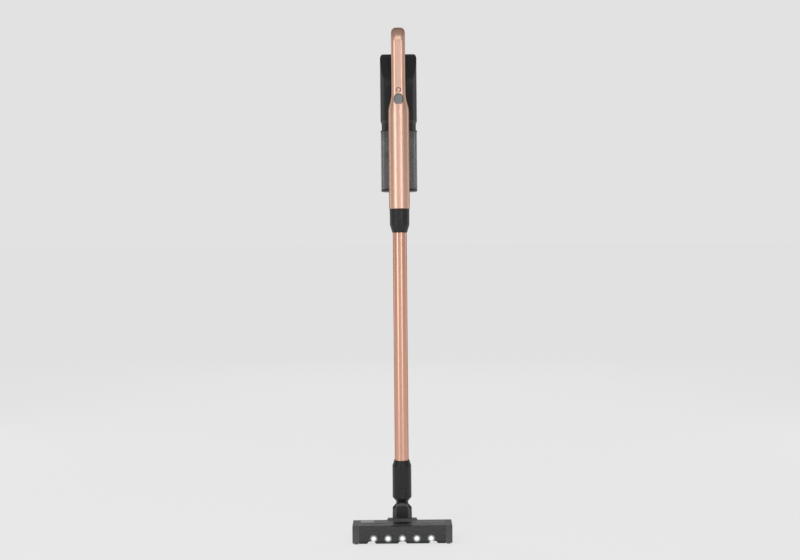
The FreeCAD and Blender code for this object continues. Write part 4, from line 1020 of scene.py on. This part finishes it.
class BuildWheels(Operator):
    """Build the treads and hub caps of the rear wheels"""

    bl_idname = "vacuum.wheels"
    bl_label = "Wheels"

    def execute(self, context):
        grey = moulded("hub_plastic", (0.05, 0.05, 0.052), 0.35, 0.2)
        rubber = soft_rubber("tread_rubber", (0.013, 0.013, 0.013))
        for name in ("rear_wheel_left", "rear_wheel_right"):
            centre = centre_of(name)
            radius, half = span(name, 2) / 2, span(name, 0) / 2
            outer_half = [(0.0021, -half), (radius - 0.0012, -half), (radius - 0.0002, -half + 0.0010),
                          (radius, -half + 0.002), (radius, -0.0010), (radius - 0.0007, -0.0006)]
            profile = outer_half + [(r, -h) for r, h in reversed(outer_half)]
            lay(f"{name}_tread", revolved(profile, centre, axis=0, steps=64), along=True, finish=rubber,
                slot="rubber", body=name, stands_for=(name,))
            side = 1 if centre[0] > 0 else -1
            face = half + 0.0002
            cap = [(0.0022, face - 0.0006), (radius * 0.62, face - 0.0006), (radius * 0.62, face),
                   (radius * 0.56, face + 0.0005), (radius * 0.3, face + 0.0002), (0.0022, face + 0.0002)]
            cap = [(r, side * h) for r, h in cap]
            lay(f"{name}_cap", revolved(cap, centre, axis=0, steps=48), along=True, finish=grey,
                slot="black_shell", body=name)
        return {"FINISHED"}


# ---- stage -----------------------------------------------------------------------------------------------

# Each lamp's name, place, width and height, and power in watts.
LAMPS = (("key_left", (-1.25, -1.45, 1.1), (0.7, 2.1), 9.0),
         ("key_right", (0.85, -1.75, 1.1), (0.42, 2.1), 6.5),
         ("front_fill", (0.0, -3.4, 1.7), (1.6, 2.4), 6.0),
         ("top_front", (0.0, -1.5, 2.6), (0.9, 0.5), 3.0),
         ("rear_fill", (0.0, 2.6, 1.6), (2.4, 1.6), 7.0),
         ("rear_left", (-1.7, 0.9, 1.15), (0.4, 2.0), 3.0),
         ("rear_right", (1.7, 0.9, 1.15), (0.4, 2.0), 3.0))
LAMPS_AIM = np.array((0.0, 0.0, 0.6))


class BuildStage(Operator):
    """Build the pale floor and backdrop, the soft studio lights and the camera"""

    bl_idname = "vacuum.stage"
    bl_label = "Stage"

    def execute(self, context):
        sizes = context.scene.vacuum_studio
        # A floor that runs to the horizon, where it meets a backdrop of the same tone.
        reach = 60.0
        mesh = bpy.data.meshes.new("floor")
        mesh.from_pydata([(-reach, -reach, 0), (reach, -reach, 0), (reach, reach, 0), (-reach, reach, 0)], [],
                         [(0, 1, 2, 3)])
        floor = bpy.data.objects.new("floor", mesh)
        context.scene.collection.objects.link(floor)
        paper = Finish("pale_paper", tuple(sizes.floor_tone), 0.9, specular_ior_level=0.0)
        paper.set("Emission Color", tuple(sizes.pale))
        paper.set("Emission Strength", sizes.backdrop_glow)
        mesh.materials.append(paper.material)

        world = bpy.data.worlds.new("studio")
        world.use_nodes = True
        tree = world.node_tree
        room = tree.nodes["Background"]
        room.inputs["Color"].default_value = (1.0, 1.0, 1.0, 1.0)
        room.inputs["Strength"].default_value = sizes.room_light
        backdrop = tree.nodes.new("ShaderNodeBackground")
        backdrop.inputs["Color"].default_value = (*sizes.pale, 1.0)
        backdrop.inputs["Strength"].default_value = 1.0
        ray, mix = tree.nodes.new("ShaderNodeLightPath"), tree.nodes.new("ShaderNodeMixShader")
        tree.links.new(ray.outputs["Is Camera Ray"], mix.inputs[0])
        tree.links.new(room.outputs[0], mix.inputs[1])
        tree.links.new(backdrop.outputs[0], mix.inputs[2])
        tree.links.new(mix.outputs[0], tree.nodes["World Output"].inputs["Surface"])
        context.scene.world = world
        for name, spot, size, energy in LAMPS:
            lamp = bpy.data.lights.new(name, "AREA")
            lamp.shape = "RECTANGLE"
            lamp.size, lamp.size_y = size
            lamp.energy = energy
            light = bpy.data.objects.new(name, lamp)
            light.location = spot
            light.rotation_mode = "QUATERNION"
            light.rotation_quaternion = Vector(LAMPS_AIM - np.array(spot)).to_track_quat("-Z", "Y")
            light.visible_camera = False
            context.scene.collection.objects.link(light)

        camera = bpy.data.objects.new("camera", bpy.data.cameras.new("camera"))
        camera.data.lens = sizes.lens
        camera.data.sensor_width = 36.0
        camera.data.shift_y = sizes.shift
        camera.location = (0.0, WAND_Y - sizes.distance, sizes.height)
        camera.rotation_euler = (Euler((pi / 2 - sizes.pitch, 0, 0)).to_matrix()
                                 @ Euler((0, 0, sizes.roll)).to_matrix()).to_euler()
        context.scene.collection.objects.link(camera)
        context.scene.camera = camera
        context.scene.view_settings.view_transform = "Standard"
        return {"FINISHED"}


class VacuumPanel(Panel):
    """The builder's buttons and sizes"""

    bl_idname = "VIEW3D_PT_vacuum"
    bl_label = "Stick vacuum"
    bl_space_type = "VIEW_3D"
    bl_region_type = "UI"
    bl_category = "Vacuum"

    def draw(self, context):
        for group in (context.scene.vacuum_shell, context.scene.vacuum_head, context.scene.vacuum_studio):
            for name in group.__annotations__:
                self.layout.prop(group, name)
        for builder in BUILDERS:
            self.layout.operator(builder.bl_idname)


BUILDERS = (BuildStage, FinishFrame, BuildCopperShell, BuildSoftGrip, BuildControls, BuildBinTrim,
            BuildMotorTrim, BuildWandTrim, BuildNozzleTrim, BuildBrush, BuildWheels)
GROUPS = (("vacuum_shell", VacuumShell), ("vacuum_head", VacuumHead), ("vacuum_studio", VacuumStudio))


def register():
    for name, group in GROUPS:
        bpy.utils.register_class(group)
        setattr(bpy.types.Scene, name, PointerProperty(type=group))
    for builder in (*BUILDERS, VacuumPanel):
        bpy.utils.register_class(builder)


def unregister():
    for builder in reversed((*BUILDERS, VacuumPanel)):
        bpy.utils.unregister_class(builder)
    for name, group in reversed(GROUPS):
        delattr(bpy.types.Scene, name)
        bpy.utils.unregister_class(group)


def main():
    register()
    for builder in BUILDERS:
        family, name = builder.bl_idname.split(".")
        getattr(getattr(bpy.ops, family), name)()


if __name__ == "__main__":
    main()
